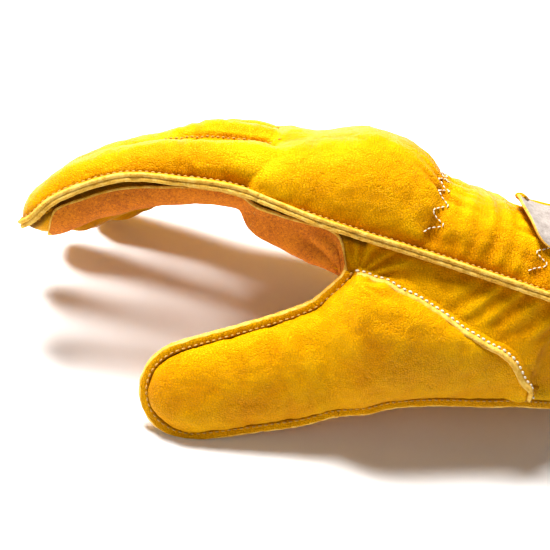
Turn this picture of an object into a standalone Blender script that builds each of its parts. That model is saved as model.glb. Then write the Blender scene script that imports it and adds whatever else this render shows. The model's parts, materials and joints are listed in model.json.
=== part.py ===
"""Right-hand leather beekeeping glove, as an assembly of its cut and sewn leather pieces.

The glove is modelled in its own hand frame, in millimetres: +X runs from the finger roots to
the cuff, +Y from the thumb side to the little-finger side and +Z out of the back of the hand.
The index outseam of the hand lies at z = 0. One empty then lays the whole glove on the floor,
on its thumb, its cuff and its little finger. Each finger, the thumb and the wrist tab hang
from an empty of their own, on their hinge line.

A piece of leather is a net of points along the middle of the leather, made solid. Stations run
along the hand from the finger roots (0) to the cuff edge (1). Shares run across it, from the
thumb side (-1) to the little-finger side (1).
"""

import math

import bmesh
import bpy
from mathutils import Matrix, Vector

MM = 0.001

# Materials' thicknesses, and what keeps sewn pieces apart
LEATHER = 1.2
SUEDE = 1.3
TAPE = 1.0
THREAD = 0.8
GAP = 0.4
LIP = 3.2
SEAM = (LEATHER + GAP) / 2
BUTT = 0.9

# Hand. A profile holds (station, size) pairs, joined by a smooth curve
HAND_LENGTH = 158.0
CENTRE_Y = 34.5
SQUARENESS = 3.0
HALF_WIDTH = ((0, 50), (0.20, 49), (0.42, 45), (0.63, 43.5), (0.80, 44.5), (0.92, 47))
BACK_HEIGHT = ((0, 28.5), (0.09, 35), (0.20, 41.5), (0.29, 41), (0.375, 35.5), (0.45, 29.5),
               (0.54, 29.5), (0.66, 27), (0.80, 28.5), (0.92, 30))
PALM_DEPTH = ((0, 19), (0.08, 21), (0.17, 23), (0.38, 26), (0.63, 33), (0.80, 37), (0.92, 38))
PALM_HOLLOW = 0.42
LITTLE_SEAM_DROP = ((0, 14), (0.42, 8), (0.92, 6))

# Thumb side of the hand: crotch of the thumb, set-in seam and lower outseam
CROTCH = Vector((39.5, -15, -17))
RING_LOW = Vector((60.8, -13, -70))
SET_IN_Z = ((0.25, -17), (0.38, -17), (0.51, -21), (0.62, -26), (0.70, -28), (0.785, -38))
SET_IN_Y = ((0.25, -15), (0.51, -15), (0.70, -13), (0.785, -11))
LOWER_Z = ((0.385, -70), (0.55, -58.5), (0.70, -50), (0.80, -45.5), (0.92, -44))
LOWER_Y = ((0.385, -13), (0.55, -9), (0.80, -2), (0.92, 6))
RING_HALF_THICK = 14.5
BASE_END = 0.785
SIDE_BULGE = 1.5
BALL_BULGE = 5.5

# Thumb pouch: its axis runs from the root, and its outline ends in a round tip
THUMB_ROOT = Vector((47, -13, -48))
THUMB_LENGTH = 79.0
THUMB_SLOPE = 29.5
THUMB_LEAN = 9.0
THUMB_TUCK = 6.0
THUMB_TIP_ROUND = 17.0
THUMB_HALF_WIDTH = ((0, 22.5), (0.15, 20), (0.35, 18.2), (0.65, 17), (1, 16))
THUMB_MOUTH_SHARE = 0.676
THUMB_ROOT_THICK = RING_HALF_THICK * THUMB_MOUTH_SHARE
THUMB_THICK_SHARE = ((0, 1), (0.4, 0.97), (0.8, 0.82), (1, 0.71))

# Fingers: middle of the root, half width and half thickness, length, slope of the root, curl
# from root to tip and sideways splay, in mm and degrees
FINGERS = {
    "index": dict(y=0.0, z=6.0, half=11.2, thick=13.0, length=103, slope=-4, curl=44, splay=-2),
    "middle": dict(y=24.2, z=6.0, half=11.2, thick=12.6, length=109, slope=-3, curl=52, splay=0.5),
    "ring": dict(y=47.9, z=2.5, half=10.8, thick=12.2, length=102, slope=-5, curl=54, splay=3),
    "little": dict(y=70.2, z=-4.5, half=9.8, thick=11.2, length=84, slope=-6, curl=48, splay=5),
}
FINGER_TUCK = 5.0
FINGER_SQUARENESS = 2.5
FINGER_TIP_ROUND = 15.0
SIDEWALL_SHARE = 0.5
OUTER_SEAM_RISE = ((0, -4.5), (0.35, -1), (0.62, 4), (0.86, 3), (1, 0))
HINGE_X = 1.0

# Wrist
ELASTICS = {"front": 0.40, "rear": 0.69}
TAPE_HALF_WIDTH = 4.0
ZIGZAG_HALF = 2.6
ZIGZAG_STITCHES = 34
BINDING_START = 0.925
TAB_START = 0.60
TAB_END = 0.745
TAB_HINGE_SHARES = (-0.80, 0.26)
TAB_FREE_SHARES = (-0.50, 0.26)
TAB_CLEARANCE = 1.0
TAB_CURL = 3.0

# How the glove lies, in degrees: the far side is rolled down, then the cuff
REST_ROLL = -26.9
REST_PITCH = 4.3

# Red, green, blue and roughness
FINISHES = {
    "grain_leather": (0.90, 0.56, 0.02, 0.55),
    "palm_suede": (0.66, 0.28, 0.02, 0.95),
    "flesh_leather": (0.78, 0.70, 0.60, 0.95),
    "elastic_tape": (0.80, 0.78, 0.72, 0.80),
    "seam_thread": (0.78, 0.55, 0.14, 0.60),
    "white_thread": (0.88, 0.85, 0.74, 0.60),
}


# ---------------------------------------------------------------- curves

def profile(table, at):
    """A smooth curve through the table's points, flat past its ends."""
    at = min(max(at, table[0][0]), table[-1][0])
    last = len(table) - 1
    k = next(i for i in range(last) if at <= table[i + 1][0])
    (x0, y0), (x1, y1) = table[k], table[k + 1]
    t = (at - x0) / (x1 - x0)

    def slope(i):
        if i in (0, last):
            return 0.0
        before = (table[i][1] - table[i - 1][1]) / (table[i][0] - table[i - 1][0])
        after = (table[i + 1][1] - table[i][1]) / (table[i + 1][0] - table[i][0])
        return 0.0 if before * after <= 0 else 2 * before * after / (before + after)

    ends = y0 * (1 + 2 * t) * (1 - t) ** 2 + y1 * t * t * (3 - 2 * t)
    return ends + (x1 - x0) * (slope(k) * t * (1 - t) ** 2 - slope(k + 1) * t * t * (1 - t))


def rounded(share, power):
    """Height of a superellipse over a share of its half width."""
    return max(0.0, 1 - min(1.0, abs(share)) ** power) ** (1 / power)


def smooth(t):
    t = min(max(t, 0.0), 1.0)
    return t * t * (3 - 2 * t)


def steps(low, high, count):
    return [low + (high - low) * i / (count - 1) for i in range(count)]


def turned(degrees, power):
    """The point of a unit superellipse at an angle."""
    c, s = math.cos(math.radians(degrees)), math.sin(math.radians(degrees))
    return math.copysign(abs(c) ** (2 / power), c), math.copysign(abs(s) ** (2 / power), s)


def angle_at(height, power):
    """The angle at which a unit superellipse reaches a height."""
    return math.degrees(math.asin(math.copysign(abs(height) ** (power / 2), height)))


# ---------------------------------------------------------------- nets and objects

def lifted(rows, distance):
    """The same net moved off itself, along its normals: each row's run crossed with its next."""
    moved = []
    for i, row in enumerate(rows):
        before, after = rows[max(i - 1, 0)], rows[min(i + 1, len(rows) - 1)]
        moved.append([])
        for j, point in enumerate(row):
            across = row[min(j + 1, len(row) - 1)] - row[max(j - 1, 0)]
            normal = across.cross(after[j] - before[j]).normalized()
            moved[-1].append(point + normal * distance)
    return moved


def between(rows, u, v):
    """The point of a net at a fractional row and column."""
    i, j = min(int(u), len(rows) - 2), min(int(v), len(rows[0]) - 2)
    near = rows[i][j].lerp(rows[i][j + 1], v - j)
    return near.lerp(rows[i + 1][j].lerp(rows[i + 1][j + 1], v - j), u - i)


def finish_material(name):
    found = bpy.data.materials.get(name)
    if found:
        return found
    red, green, blue, rough = FINISHES[name]
    made = bpy.data.materials.new(name)
    made.use_nodes = True
    shader = made.node_tree.nodes["Principled BSDF"]
    shader.inputs["Base Color"].default_value = (red, green, blue, 1)
    shader.inputs["Roughness"].default_value = rough
    shader.inputs["Metallic"].default_value = 0
    made.diffuse_color = (red, green, blue, 1)
    return made


def new_object(name, data, body, finish):
    data.materials.append(finish_material(finish))
    made = bpy.data.objects.new(name, data)
    made.parent = body
    bpy.context.scene.collection.objects.link(made)
    return made


def panel(name, rows, body, finish="grain_leather", thickness=LEATHER, ring=False):
    """One cut piece, from the net along its middle. None in a row leaves a gap in the net."""
    net = bmesh.new()
    pivot = Vector(body.get("pivot_mm", (0, 0, 0)))
    corners = []
    for row in rows:
        corners.append([net.verts.new((p - pivot) * MM) if p else None for p in row])
    for first, second in zip(corners, corners[1:]):
        for i in range(len(first) if ring else len(first) - 1):
            k = (i + 1) % len(first)
            quad = (first[i], first[k], second[k], second[i])
            if all(quad):
                net.faces.new(quad)
    loose = [vertex for vertex in net.verts if not vertex.link_faces]
    bmesh.ops.delete(net, geom=loose, context="VERTS")
    mesh = bpy.data.meshes.new(name)
    net.to_mesh(mesh)
    net.free()
    mesh.shade_smooth()
    solid = new_object(name, mesh, body, finish).modifiers.new("Thickness", "SOLIDIFY")
    solid.thickness = thickness * MM
    solid.offset = 0


def thread(name, points, body, finish):
    """A row of stitches, as one cord through its points."""
    pivot = Vector(body.get("pivot_mm", (0, 0, 0)))
    curve = bpy.data.curves.new(name, "CURVE")
    curve.dimensions = "3D"
    curve.bevel_depth = THREAD / 2 * MM
    curve.bevel_resolution = 0
    curve.use_fill_caps = True
    line = curve.splines.new("POLY")
    line.points.add(len(points) - 1)
    for spot, point in zip(line.points, points):
        spot.co = (*((point - pivot) * MM), 1)
    new_object(name, curve, body, finish)


def moving_body(name, glove, pivot):
    """An empty on the body's hinge line, which runs along the hand's Y."""
    empty = bpy.data.objects.new(name, None)
    empty.location = pivot * MM
    empty["pivot_mm"] = tuple(pivot)
    empty.parent = glove
    bpy.context.scene.collection.objects.link(empty)
    return empty


# ---------------------------------------------------------------- the hand's surface

def half_width(station):
    return profile(HALF_WIDTH, station)


def seam_z(station, share):
    return -profile(LITTLE_SEAM_DROP, station) * (share + 1) / 2


def hand_point(station, share, height):
    y = CENTRE_Y + share * half_width(station)
    return Vector((station * HAND_LENGTH, y, seam_z(station, share) + height))


def hand_back(station, share):
    return hand_point(station, share, profile(BACK_HEIGHT, station) * rounded(share, SQUARENESS))


def hand_palm(station, share):
    hollow = PALM_HOLLOW * math.exp(-(share / 0.5) ** 2) * max(0.0, 1 - station / 0.75)
    depth = profile(PALM_DEPTH, station) * (1 - hollow)
    return hand_point(station, share, -depth * rounded(share, SQUARENESS))


def shares_across(count):
    return [turned(180 - a, SQUARENESS)[0] for a in steps(0, 180, count)]


def set_in(station):
    """The thumb's set-in seam."""
    return Vector((station * HAND_LENGTH, profile(SET_IN_Y, station), profile(SET_IN_Z, station)))


def lower_edge(station):
    """The lower outseam of the thumb and the wrist."""
    return Vector((station * HAND_LENGTH, profile(LOWER_Y, station), profile(LOWER_Z, station)))


def ring_point(turn, side):
    """The thumb's mouth, from the crotch (0) to the lower edge (1)."""
    bulge = RING_HALF_THICK * rounded(2 * turn - 1, 2)
    return CROTCH.lerp(RING_LOW, turn) + Vector((0, side * bulge, 0))


# ---------------------------------------------------------------- hand pieces

BACK_STATIONS = (0, 0.06, 0.13, 0.20, 0.28, 0.34, 0.40, 0.48, 0.58, 0.69, 0.80, 0.90, 1)
CROTCH_STATION = CROTCH.x / HAND_LENGTH
RING_STATION = RING_LOW.x / HAND_LENGTH
Y_LIP = Vector((0, LIP, 0))
Z_LIP = Vector((0, 0, LIP))
Z_SEAM = Vector((0, 0, SEAM))
THREAD_LIFT = (LEATHER + THREAD) / 2 + GAP


def lips_reach(station):
    """The lips stop short of the cuff's binding."""
    return station < BINDING_START - 0.01


def back_rows():
    return [[hand_back(station, share) + Z_SEAM for share in shares_across(15)]
            for station in BACK_STATIONS]


def build_back(hand):
    rows = []
    for station, row in zip(BACK_STATIONS, back_rows()):
        lips = (row[0] - Y_LIP, row[-1] + Y_LIP) if lips_reach(station) else (None, None)
        rows.append([lips[0], *row, lips[1]])
    panel("back_panel", rows, hand)
    lift = Vector((0, 0, THREAD_LIFT))
    middles = [(row[0] + row[1]) / 2 for row in rows if row[0]]
    thread("index_side_thread", [p + lift for p in middles], hand, "seam_thread")
    middles = [(row[-1] + row[-2]) / 2 for row in rows if row[0]]
    thread("little_side_thread", [p + lift for p in middles], hand, "seam_thread")


def strip(top, bottom, bulge, count):
    """Points from top to bottom, bowed out towards the thumb side."""
    return [top.lerp(bottom, t) - Vector((0, bulge * 4 * t * (1 - t), 0))
            for t in steps(0, 1, count)]


def build_side(hand):
    """The strip of leather between the index outseam and the thumb's set-in seam."""
    rows = []
    for station in (CROTCH_STATION + 0.008, 0.31, 0.38, 0.45, 0.52, 0.60, 0.68, 0.74, 0.78,
                    0.815, 0.87, 0.91, 0.955, 1):
        top = hand_back(station, -1) - Z_SEAM
        bottom = set_in(station) + Vector((0, 0, BUTT))
        bulge = SIDE_BULGE
        if station > BASE_END:
            bottom = lower_edge(station) - Vector((0, SEAM, 0))
            bulge = 3 * SIDE_BULGE
        lip = top - Y_LIP if lips_reach(station) else None
        low = bottom - Z_LIP if lips_reach(station) and station > BASE_END else None
        rows.append([lip, *strip(top, bottom, bulge, 5), low])
    panel("side_panel", rows, hand)


def build_thumb_base(hand):
    """The outer leather of the thumb's base, from its mouth back to where its seams meet."""
    rows = []
    last = BASE_END - 0.012
    for u in steps(0, 1, 9):
        top = set_in(CROTCH_STATION + (last - CROTCH_STATION) * u) - Vector((0, 0, BUTT))
        low = lower_edge(RING_STATION + (last - RING_STATION) * u) - Vector((0, SEAM, 0))
        bulge = RING_HALF_THICK * (1 - smooth(u)) + 2 * smooth(u)
        row = []
        for t in steps(0, 1, 8):
            out = bulge * rounded(2 * t - 1, 2)
            row.append(top.lerp(low, t) - Vector((0, out, 0)))
        rows.append([*row, low - Z_LIP])
    panel("thumb_base", rows, hand)
    seam = [set_in(station) for station in steps(CROTCH_STATION + 0.01, BASE_END - 0.01, 26)]
    out = Vector((0, THREAD_LIFT, 0))
    thread("thumb_seam_thread", [point - out for point in seam], hand, "white_thread")


def palm_across(station, start):
    """From the start of a palm row, over the thumb's ball, to the little-finger seam."""
    shares = [-0.38 + 1.38 * math.sin(math.radians(a)) for a in steps(0, 90, 9)]
    row = [hand_palm(station, share) for share in shares]
    row[-1] = row[-1] - Z_SEAM
    bulge = BALL_BULGE * smooth((CROTCH.z - start.z) / (CROTCH.z - RING_LOW.z))
    ball = [start.lerp(row[0], t) + Vector((0, bulge, -bulge)) for t in (0.3, 0.65)]
    return [*ball, *row]


def palm_rows():
    """The palm's net: the seam and two points down the thumb side, then across the palm."""
    rows = []
    for station in (0, 0.05, 0.10, 0.15, 0.20, CROTCH_STATION - 0.004):
        seam = hand_palm(station, -1) - Z_SEAM
        corner = Vector((station * HAND_LENGTH, CROTCH.y, CROTCH.z))
        start = hand_palm(station, -0.85).lerp(corner, smooth(station / CROTCH_STATION))
        side = strip(seam, start, SIDE_BULGE, 4)[1:3]
        rows.append([seam, *side, start, *palm_across(station, start)])
    for turn in (0.06, 0.3, 0.55, 0.78, 0.92):
        start = ring_point(turn, 1)
        rows.append([None, None, None, start, *palm_across(start.x / HAND_LENGTH, start)])
    for station in (RING_STATION, 0.44, 0.50, 0.58, 0.66, 0.74, 0.80, 0.87, 0.91, 0.955, 1):
        start = lower_edge(station) + Vector((0, SEAM, 0))
        low = start - Z_LIP if lips_reach(station) else None
        rows.append([None, None, low, start, *palm_across(station, start)])
    return rows


def build_palm(hand):
    rows = palm_rows()
    edged = []
    for row in rows:
        station = row[-1].x / HAND_LENGTH
        lip = row[0] - Y_LIP if row[0] else None
        edged.append([lip, *row, row[-1] + Y_LIP if lips_reach(station) else None])
    panel("palm_panel", edged, hand)
    patch = [row[3:10] for row in rows[1:6]]
    stand = (LEATHER + SUEDE) / 2 + GAP
    panel("palm_patch", lifted(patch, stand), hand, "palm_suede", SUEDE)


def build_elastics(hand):
    """Elastic tape inside the back at the wrist, and the zigzag stitches that gather it."""
    rows = back_rows()
    inner = lifted(rows, (LEATHER + TAPE) / 2 + GAP)
    outer = lifted(rows, -THREAD_LIFT - GAP)
    for name, station in ELASTICS.items():
        u = BACK_STATIONS.index(station)
        before = (BACK_STATIONS[u] - BACK_STATIONS[u - 1]) * HAND_LENGTH
        after = (BACK_STATIONS[u + 1] - BACK_STATIONS[u]) * HAND_LENGTH
        tape = [[between(inner, w, v) for v in range(2, 13)]
                for w in (u - TAPE_HALF_WIDTH / before, u, u + TAPE_HALF_WIDTH / after)]
        panel(name + "_elastic", tape, hand, "elastic_tape", TAPE)
        points = []
        for k in range(ZIGZAG_STITCHES):
            w = u + (ZIGZAG_HALF / after if k % 2 else -ZIGZAG_HALF / before)
            points.append(between(outer, w, 1 + 12 * k / (ZIGZAG_STITCHES - 1)))
        thread(name + "_shirring", points, hand, "white_thread")


def build_binding(hand):
    """The tape round the cuff's edge. Its end is cut square, so it is flat."""
    back = [hand_back(1, share) + Z_SEAM for share in shares_across(15)]
    under = palm_rows()[-1][3:]
    side = strip(back[0] - 2 * Z_SEAM, under[0] - Vector((0, 2 * SEAM, 0)), 3 * SIDE_BULGE, 5)
    loop = back + under[::-1] + side[::-1]
    stand = (LEATHER + TAPE) / 2 + GAP
    out = []
    for i, point in enumerate(loop):
        before = (point - loop[i - 1]).normalized()
        after = (loop[(i + 1) % len(loop)] - point).normalized()
        along = (before + after).normalized()
        mitre = stand / along.dot(after)
        out.append(point + Vector((0, -along.z, along.y)) * mitre)
    rows = []
    for station in (BINDING_START, 1 + GAP / HAND_LENGTH):
        shift = Vector(((station - 1) * HAND_LENGTH, 0, 0))
        rows.append([point + shift for point in out])
    panel("cuff_binding", rows, hand, "grain_leather", TAPE, ring=True)


# ---------------------------------------------------------------- fingers

def finger_frame(finger, along):
    """Middle, forward, sideways and upward directions of a finger at a distance."""
    size = FINGERS[finger]
    slope = math.radians(size["slope"])
    bend = math.radians(size["curl"]) / size["length"]
    turn = slope - bend * along
    forward = Vector((-math.cos(turn), 0, math.sin(turn)))
    reach = Vector((math.sin(turn) - math.sin(slope), 0, math.cos(turn) - math.cos(slope))) / bend
    splay = Matrix.Rotation(math.radians(size["splay"]), 3, "Z").inverted()
    forward, reach, sideways = splay @ forward, splay @ reach, splay @ Vector((0, 1, 0))
    return Vector((0, size["y"], size["z"])) + reach, forward, sideways, sideways.cross(forward)


def finger_point(finger, along, degrees):
    """A point round a finger: 0 at the little-finger side, 90 on the back, 180 at the thumb's."""
    size = FINGERS[finger]
    middle, _, sideways, up = finger_frame(finger, along)
    rest = max(0.0, along - size["length"] + FINGER_TIP_ROUND) / FINGER_TIP_ROUND
    narrow = 0.55 + 0.45 * rounded(rest, 2)
    side, height = turned(degrees, FINGER_SQUARENESS)
    across = sideways * side * size["half"] * narrow
    return middle + across + up * height * size["thick"] * rounded(rest, 2.2)


def sidewall_angle(finger, along):
    """How far the sidewall reaches up from the middle of the finger's side."""
    share = min(1.0, max(0.0, (FINGERS[finger]["length"] - along) / 32 - 0.22))
    return angle_at(SIDEWALL_SHARE * share, FINGER_SQUARENESS)


def outer_seam_angle(finger, along):
    size = FINGERS[finger]
    rise = profile(OUTER_SEAM_RISE, along / size["length"])
    return angle_at(rise / size["thick"], FINGER_SQUARENESS)


def finger_stations(finger):
    last = FINGERS[finger]["length"] - FINGER_TIP_ROUND
    tip = [last + FINGER_TIP_ROUND * t for t in (0.35, 0.65, 0.85, 1)]
    return [-FINGER_TUCK, 4, *steps(16, last, 5), *tip]


def finger_shell(finger, half, outer):
    """Rows of the back (half 1) or the front (half -1) of a finger, with its lips."""
    rows = []
    for along in finger_stations(finger):
        _, forward, sideways, up = finger_frame(finger, along)
        ends = {side: sidewall_angle(finger, along) for side in (-1, 1)}
        if outer:
            ends[outer] = outer_seam_angle(finger, along) * half
        row = [finger_point(finger, along, half * angle) + up * half * SEAM
               for angle in steps(180 - ends[-1], ends[1], 9)]
        near = row[0] - sideways * LIP if outer == -1 and along > 0 else None
        far = row[-1] + sideways * LIP if outer == 1 and along > 0 else None
        rows.append([near, *row, far])
    tip = [point + forward * LIP if point else None for point in rows[-1]]
    return [*rows, tip]


def build_finger(finger, glove):
    size = FINGERS[finger]
    body = moving_body(finger, glove, Vector((HINGE_X, size["y"], size["z"])))
    outer = {"index": -1, "little": 1}.get(finger, 0)
    back = finger_shell(finger, 1, outer)
    panel(finger + "_back", back, body)
    panel(finger + "_front", finger_shell(finger, -1, outer), body)
    for side, name in ((-1, "_near_wall"), (1, "_far_wall")):
        if side == outer:
            continue
        rows = []
        for along in finger_stations(finger)[:-4]:
            reach = sidewall_angle(finger, along)
            middle = 90 - 90 * side
            rows.append([finger_point(finger, along, middle + a) for a in steps(-reach, reach, 4)])
        panel(finger + name, rows, body)
    if outer:
        lip, seam = (0, 1) if outer == -1 else (-1, -2)
        points = []
        for along, row in list(zip(finger_stations(finger), back))[1:]:
            up = finger_frame(finger, along)[3]
            points.append((row[lip] + row[seam]) / 2 + up * THREAD_LIFT)
        thread(finger + "_outseam_thread", points, body, "seam_thread")
    return body


def build_index_patch(body):
    """The suede patch on the palm side of the index finger."""
    rows = [row[2:9] for row in finger_shell("index", -1, -1)[2:-4]]
    stand = (LEATHER + SUEDE) / 2 + GAP
    panel("index_patch", lifted(rows, -stand), body, "palm_suede", SUEDE)


# ---------------------------------------------------------------- thumb and tab

def thumb_row(along, side):
    """A row across the thumb pouch, with its lips. Side is -1 for the outer face."""
    slope, lean = math.radians(THUMB_SLOPE), math.radians(THUMB_LEAN)
    forward = Vector((-math.cos(slope) * math.cos(lean), -math.sin(lean), -math.sin(slope)))
    upward = Vector((-math.sin(slope), 0, math.cos(slope)))
    rest = max(0.0, along - THUMB_LENGTH + THUMB_TIP_ROUND) / THUMB_TIP_ROUND
    turn = along / THUMB_LENGTH
    half = profile(THUMB_HALF_WIDTH, turn) * (0.42 + 0.58 * rounded(rest, 2))
    thick = THUMB_ROOT_THICK * profile(THUMB_THICK_SHARE, turn) * rounded(rest, 2.2)
    row = []
    for angle in steps(180, 0, 9):
        share = math.cos(math.radians(angle))
        out = side * (SEAM + thick * rounded(share, 2))
        row.append(THUMB_ROOT + forward * along + upward * share * half + Vector((0, out, 0)))
    lips = [row[0] - upward * LIP, row[-1] + upward * LIP] if along > 0 else [None, None]
    return [lips[0], *row, lips[1]], forward


def thumb_rows(side):
    last = THUMB_LENGTH - THUMB_TIP_ROUND
    tip = [last + THUMB_TIP_ROUND * t for t in (0.3, 0.6, 0.82, 0.95, 1)]
    rows = []
    for along in (-THUMB_TUCK, 8, *steps(20, last, 4), *tip):
        row, forward = thumb_row(along, side)
        rows.append(row)
    return [*rows, [point + forward * LIP for point in rows[-1]]]


def build_thumb(glove):
    body = moving_body("thumb", glove, THUMB_ROOT)
    outer = thumb_rows(-1)
    panel("thumb_outer", outer, body)
    panel("thumb_inner", thumb_rows(1), body)
    edged = [row for row in outer if row[0]][:-1]
    low = [(row[0] + row[1]) / 2 for row in edged]
    high = [(row[-1] + row[-2]) / 2 for row in edged]
    round_tip = [(a + b) / 2 for a, b in zip(outer[-1][1:-1], outer[-2][1:-1])]
    loop = low[:-1] + round_tip + high[-2::-1]
    out = Vector((0, THREAD_LIFT, 0))
    thread("thumb_outseam_thread", [point - out for point in loop], body, "seam_thread")


def build_tab(glove):
    """The pull tab on the back of the wrist, hinged along its sewn edge."""
    stand = SEAM + 2 * (LEATHER / 2 + GAP) + THREAD + TAB_CLEARANCE + LEATHER / 2
    body = moving_body("tab", glove, hand_back(TAB_END, 0) + Vector((0, 0, stand)))
    rows = []
    for t in steps(0, 1, 7):
        station = TAB_END - (TAB_END - TAB_START) * t
        shares = [a + (b - a) * t for a, b in zip(TAB_HINGE_SHARES, TAB_FREE_SHARES)]
        curl = Vector((0, 0, TAB_CURL * t * t))
        rows.append([hand_back(station, share) + curl for share in steps(*shares, 9)])
    rows = lifted(rows, stand)
    panel("wrist_tab", rows, body, "flesh_leather")


# ---------------------------------------------------------------- the whole glove

def lay_down(glove):
    """Turns the glove as it lies, and brings the middle of its underside to the origin."""
    roll = Matrix.Rotation(math.radians(REST_ROLL), 4, "X")
    pitch = Matrix.Rotation(math.radians(REST_PITCH), 4, "Y")
    glove.matrix_world = roll @ pitch
    bpy.context.view_layer.update()
    graph = bpy.context.evaluated_depsgraph_get()
    corners = []
    for piece in bpy.context.scene.objects:
        if piece.type == "EMPTY":
            continue
        solid = piece.evaluated_get(graph)
        shape = solid.to_mesh()
        corners += [solid.matrix_world @ vertex.co for vertex in shape.vertices]
        solid.to_mesh_clear()
    low = [min(corner[i] for corner in corners) for i in range(3)]
    high = [max(corner[i] for corner in corners) for i in range(3)]
    middle = Vector(((low[0] + high[0]) / 2, (low[1] + high[1]) / 2, low[2]))
    glove.location = -middle


def main():
    for old in list(bpy.data.objects):
        bpy.data.objects.remove(old)
    glove = bpy.data.objects.new("glove", None)
    bpy.context.scene.collection.objects.link(glove)
    build_back(glove)
    build_side(glove)
    build_thumb_base(glove)
    build_palm(glove)
    build_elastics(glove)
    build_binding(glove)
    for finger in FINGERS:
        body = build_finger(finger, glove)
        if finger == "index":
            build_index_patch(body)
    build_thumb(glove)
    build_tab(glove)
    lay_down(glove)


main()
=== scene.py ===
import json
import math
import random

import bmesh
import bpy
import numpy as np
from mathutils import Matrix, Vector, noise
from mathutils.bvhtree import BVHTree


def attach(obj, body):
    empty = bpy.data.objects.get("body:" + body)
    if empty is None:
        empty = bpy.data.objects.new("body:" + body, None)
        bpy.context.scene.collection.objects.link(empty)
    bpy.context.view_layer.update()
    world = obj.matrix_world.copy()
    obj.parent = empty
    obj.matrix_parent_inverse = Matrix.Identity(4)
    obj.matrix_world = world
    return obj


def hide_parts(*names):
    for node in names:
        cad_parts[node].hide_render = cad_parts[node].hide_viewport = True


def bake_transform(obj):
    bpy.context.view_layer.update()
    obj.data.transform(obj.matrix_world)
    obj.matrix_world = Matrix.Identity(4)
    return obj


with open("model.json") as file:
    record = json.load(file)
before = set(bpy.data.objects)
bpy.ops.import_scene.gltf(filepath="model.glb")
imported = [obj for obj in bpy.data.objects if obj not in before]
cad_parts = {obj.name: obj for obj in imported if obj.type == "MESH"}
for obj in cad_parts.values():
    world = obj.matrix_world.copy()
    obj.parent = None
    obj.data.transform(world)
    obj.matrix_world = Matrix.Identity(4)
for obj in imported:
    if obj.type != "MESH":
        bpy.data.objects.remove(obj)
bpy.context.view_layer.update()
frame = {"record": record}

bl_info = {
    "name": "Leather beekeeping glove",
    "version": (1, 0, 0),
    "blender": (4, 5, 0),
    "location": "View3D > Sidebar > Glove",
    "description": "Dresses the glove's sewn leather pieces in grain leather, suede and thread",
    "category": "Object",
}

# The leather is shaped in the hand's own frame, in millimetres: +X from the finger roots to the
# cuff, +Y from the thumb side to the little finger, +Z out of the back of the hand.
MM = 0.001

# How the glove lies, and the index finger's hinge, which fixes the hand frame in the room
ROLL = math.radians(-26.9)
PITCH = math.radians(4.3)
INDEX_HINGE = Vector((1.0, 0.0, 6.0))

HAND_LENGTH = 158.0
CENTRE_Y = 34.5
SQUARENESS = 3.0
HALF_WIDTH = ((0, 50), (0.20, 49), (0.42, 45), (0.63, 43.5), (0.80, 44.5), (0.92, 47))
BACK_HEIGHT = ((-0.08, 24), (0, 29), (0.09, 35), (0.20, 41.5), (0.29, 41), (0.375, 35.5),
               (0.45, 29.5), (0.54, 29.5), (0.66, 27), (0.80, 28.5), (0.92, 30))
PALM_DEPTH = ((0, 19), (0.08, 21), (0.17, 23), (0.38, 26), (0.63, 33), (0.80, 37), (0.92, 38))
PALM_HOLLOW = 0.42
LITTLE_SEAM_DROP = ((0, 14), (0.42, 8), (0.92, 6))
CROTCH = Vector((39.5, -15, -17))
RING_LOW = Vector((60.8, -13, -68))
SET_IN_Z = ((0.25, -14.5), (0.38, -16), (0.51, -20.8), (0.61, -25.8), (0.69, -27), (0.785, -38))
SET_IN_Y = ((0.25, -15), (0.51, -15), (0.70, -13), (0.785, -11))
LOWER_Z = ((0.385, -68), (0.43, -63), (0.55, -56), (0.70, -49.8), (0.80, -45.5), (0.92, -44))
LOWER_Y = ((0.385, -13), (0.55, -9), (0.80, -2), (0.92, 6))
RING_HALF_THICK = 14.5
BASE_END = 0.785
BALL_BULGE = 5.5
THUMB_ROOT = Vector((47, -13, -48))
THUMB_LENGTH = 81.5
THUMB_SLOPE = math.radians(29.5)
THUMB_LEAN = math.radians(9.0)
THUMB_TIP_ROUND = 17.0
THUMB_HALF_WIDTH = ((0, 22.5), (0.15, 20), (0.35, 18.2), (0.65, 17), (1, 16))
THUMB_LOW_SWELL = ((0, 0), (0.1, 1.2), (0.3, 4.0), (0.6, 3.0), (0.85, 1.6), (1, 0.5))
THUMB_HALF_THICK = ((0, 10.8), (0.4, 10.5), (0.8, 9), (1, 8))
FINGERS = {
    "index": dict(y=0.0, z=6.0, half=11.0, thick=13.6, length=106, slope=-4, curl=44, splay=-2),
    "middle": dict(y=24.2, z=6.0, half=10.9, thick=13.2, length=109, slope=-3, curl=52, splay=0.5),
    "ring": dict(y=47.9, z=2.5, half=10.5, thick=13.0, length=102, slope=-5, curl=54, splay=3),
    "little": dict(y=70.2, z=-4.5, half=9.6, thick=11.6, length=84, slope=-6, curl=48, splay=5),
}
FINGER_SQUARENESS = 2.5
FINGER_TIP_ROUND = 15.0
BACK_TAPER = 42.0
BELLY = 0.80
# How high the knuckles lift the leather, as (across, rise), and where along the hand, in mm
ROOT_RISE = ((25, 5.0), (46, 7.0), (67, 2.5))
ROOT_X, ROOT_REACH, ROOT_HALF = -22, 25, 11.5
OUTER_SEAM_RISE = ((0, -4.5), (0.35, -1), (0.62, 4), (0.86, 4), (1, -3))
ELASTICS = {"front": 0.40, "rear": 0.69}
BINDING_START = 0.925
TAB_START, TAB_END = 0.60, 0.745
TAB_STAND = 3.0
TAB_SLANT = 0.065
ROOT_SPLIT = -8.0

TURN = Matrix.Rotation(ROLL, 3, "X") @ Matrix.Rotation(PITCH, 3, "Y")
HINGES = {joint["name"]: joint for joint in frame["record"]["behaviour"]["joints"]}
ORIGIN = Vector(HINGES["index_root"]["pos_m"]) - TURN @ INDEX_HINGE * MM
BUILT = {}


# ---------------------------------------------------------------- small helpers

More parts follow.
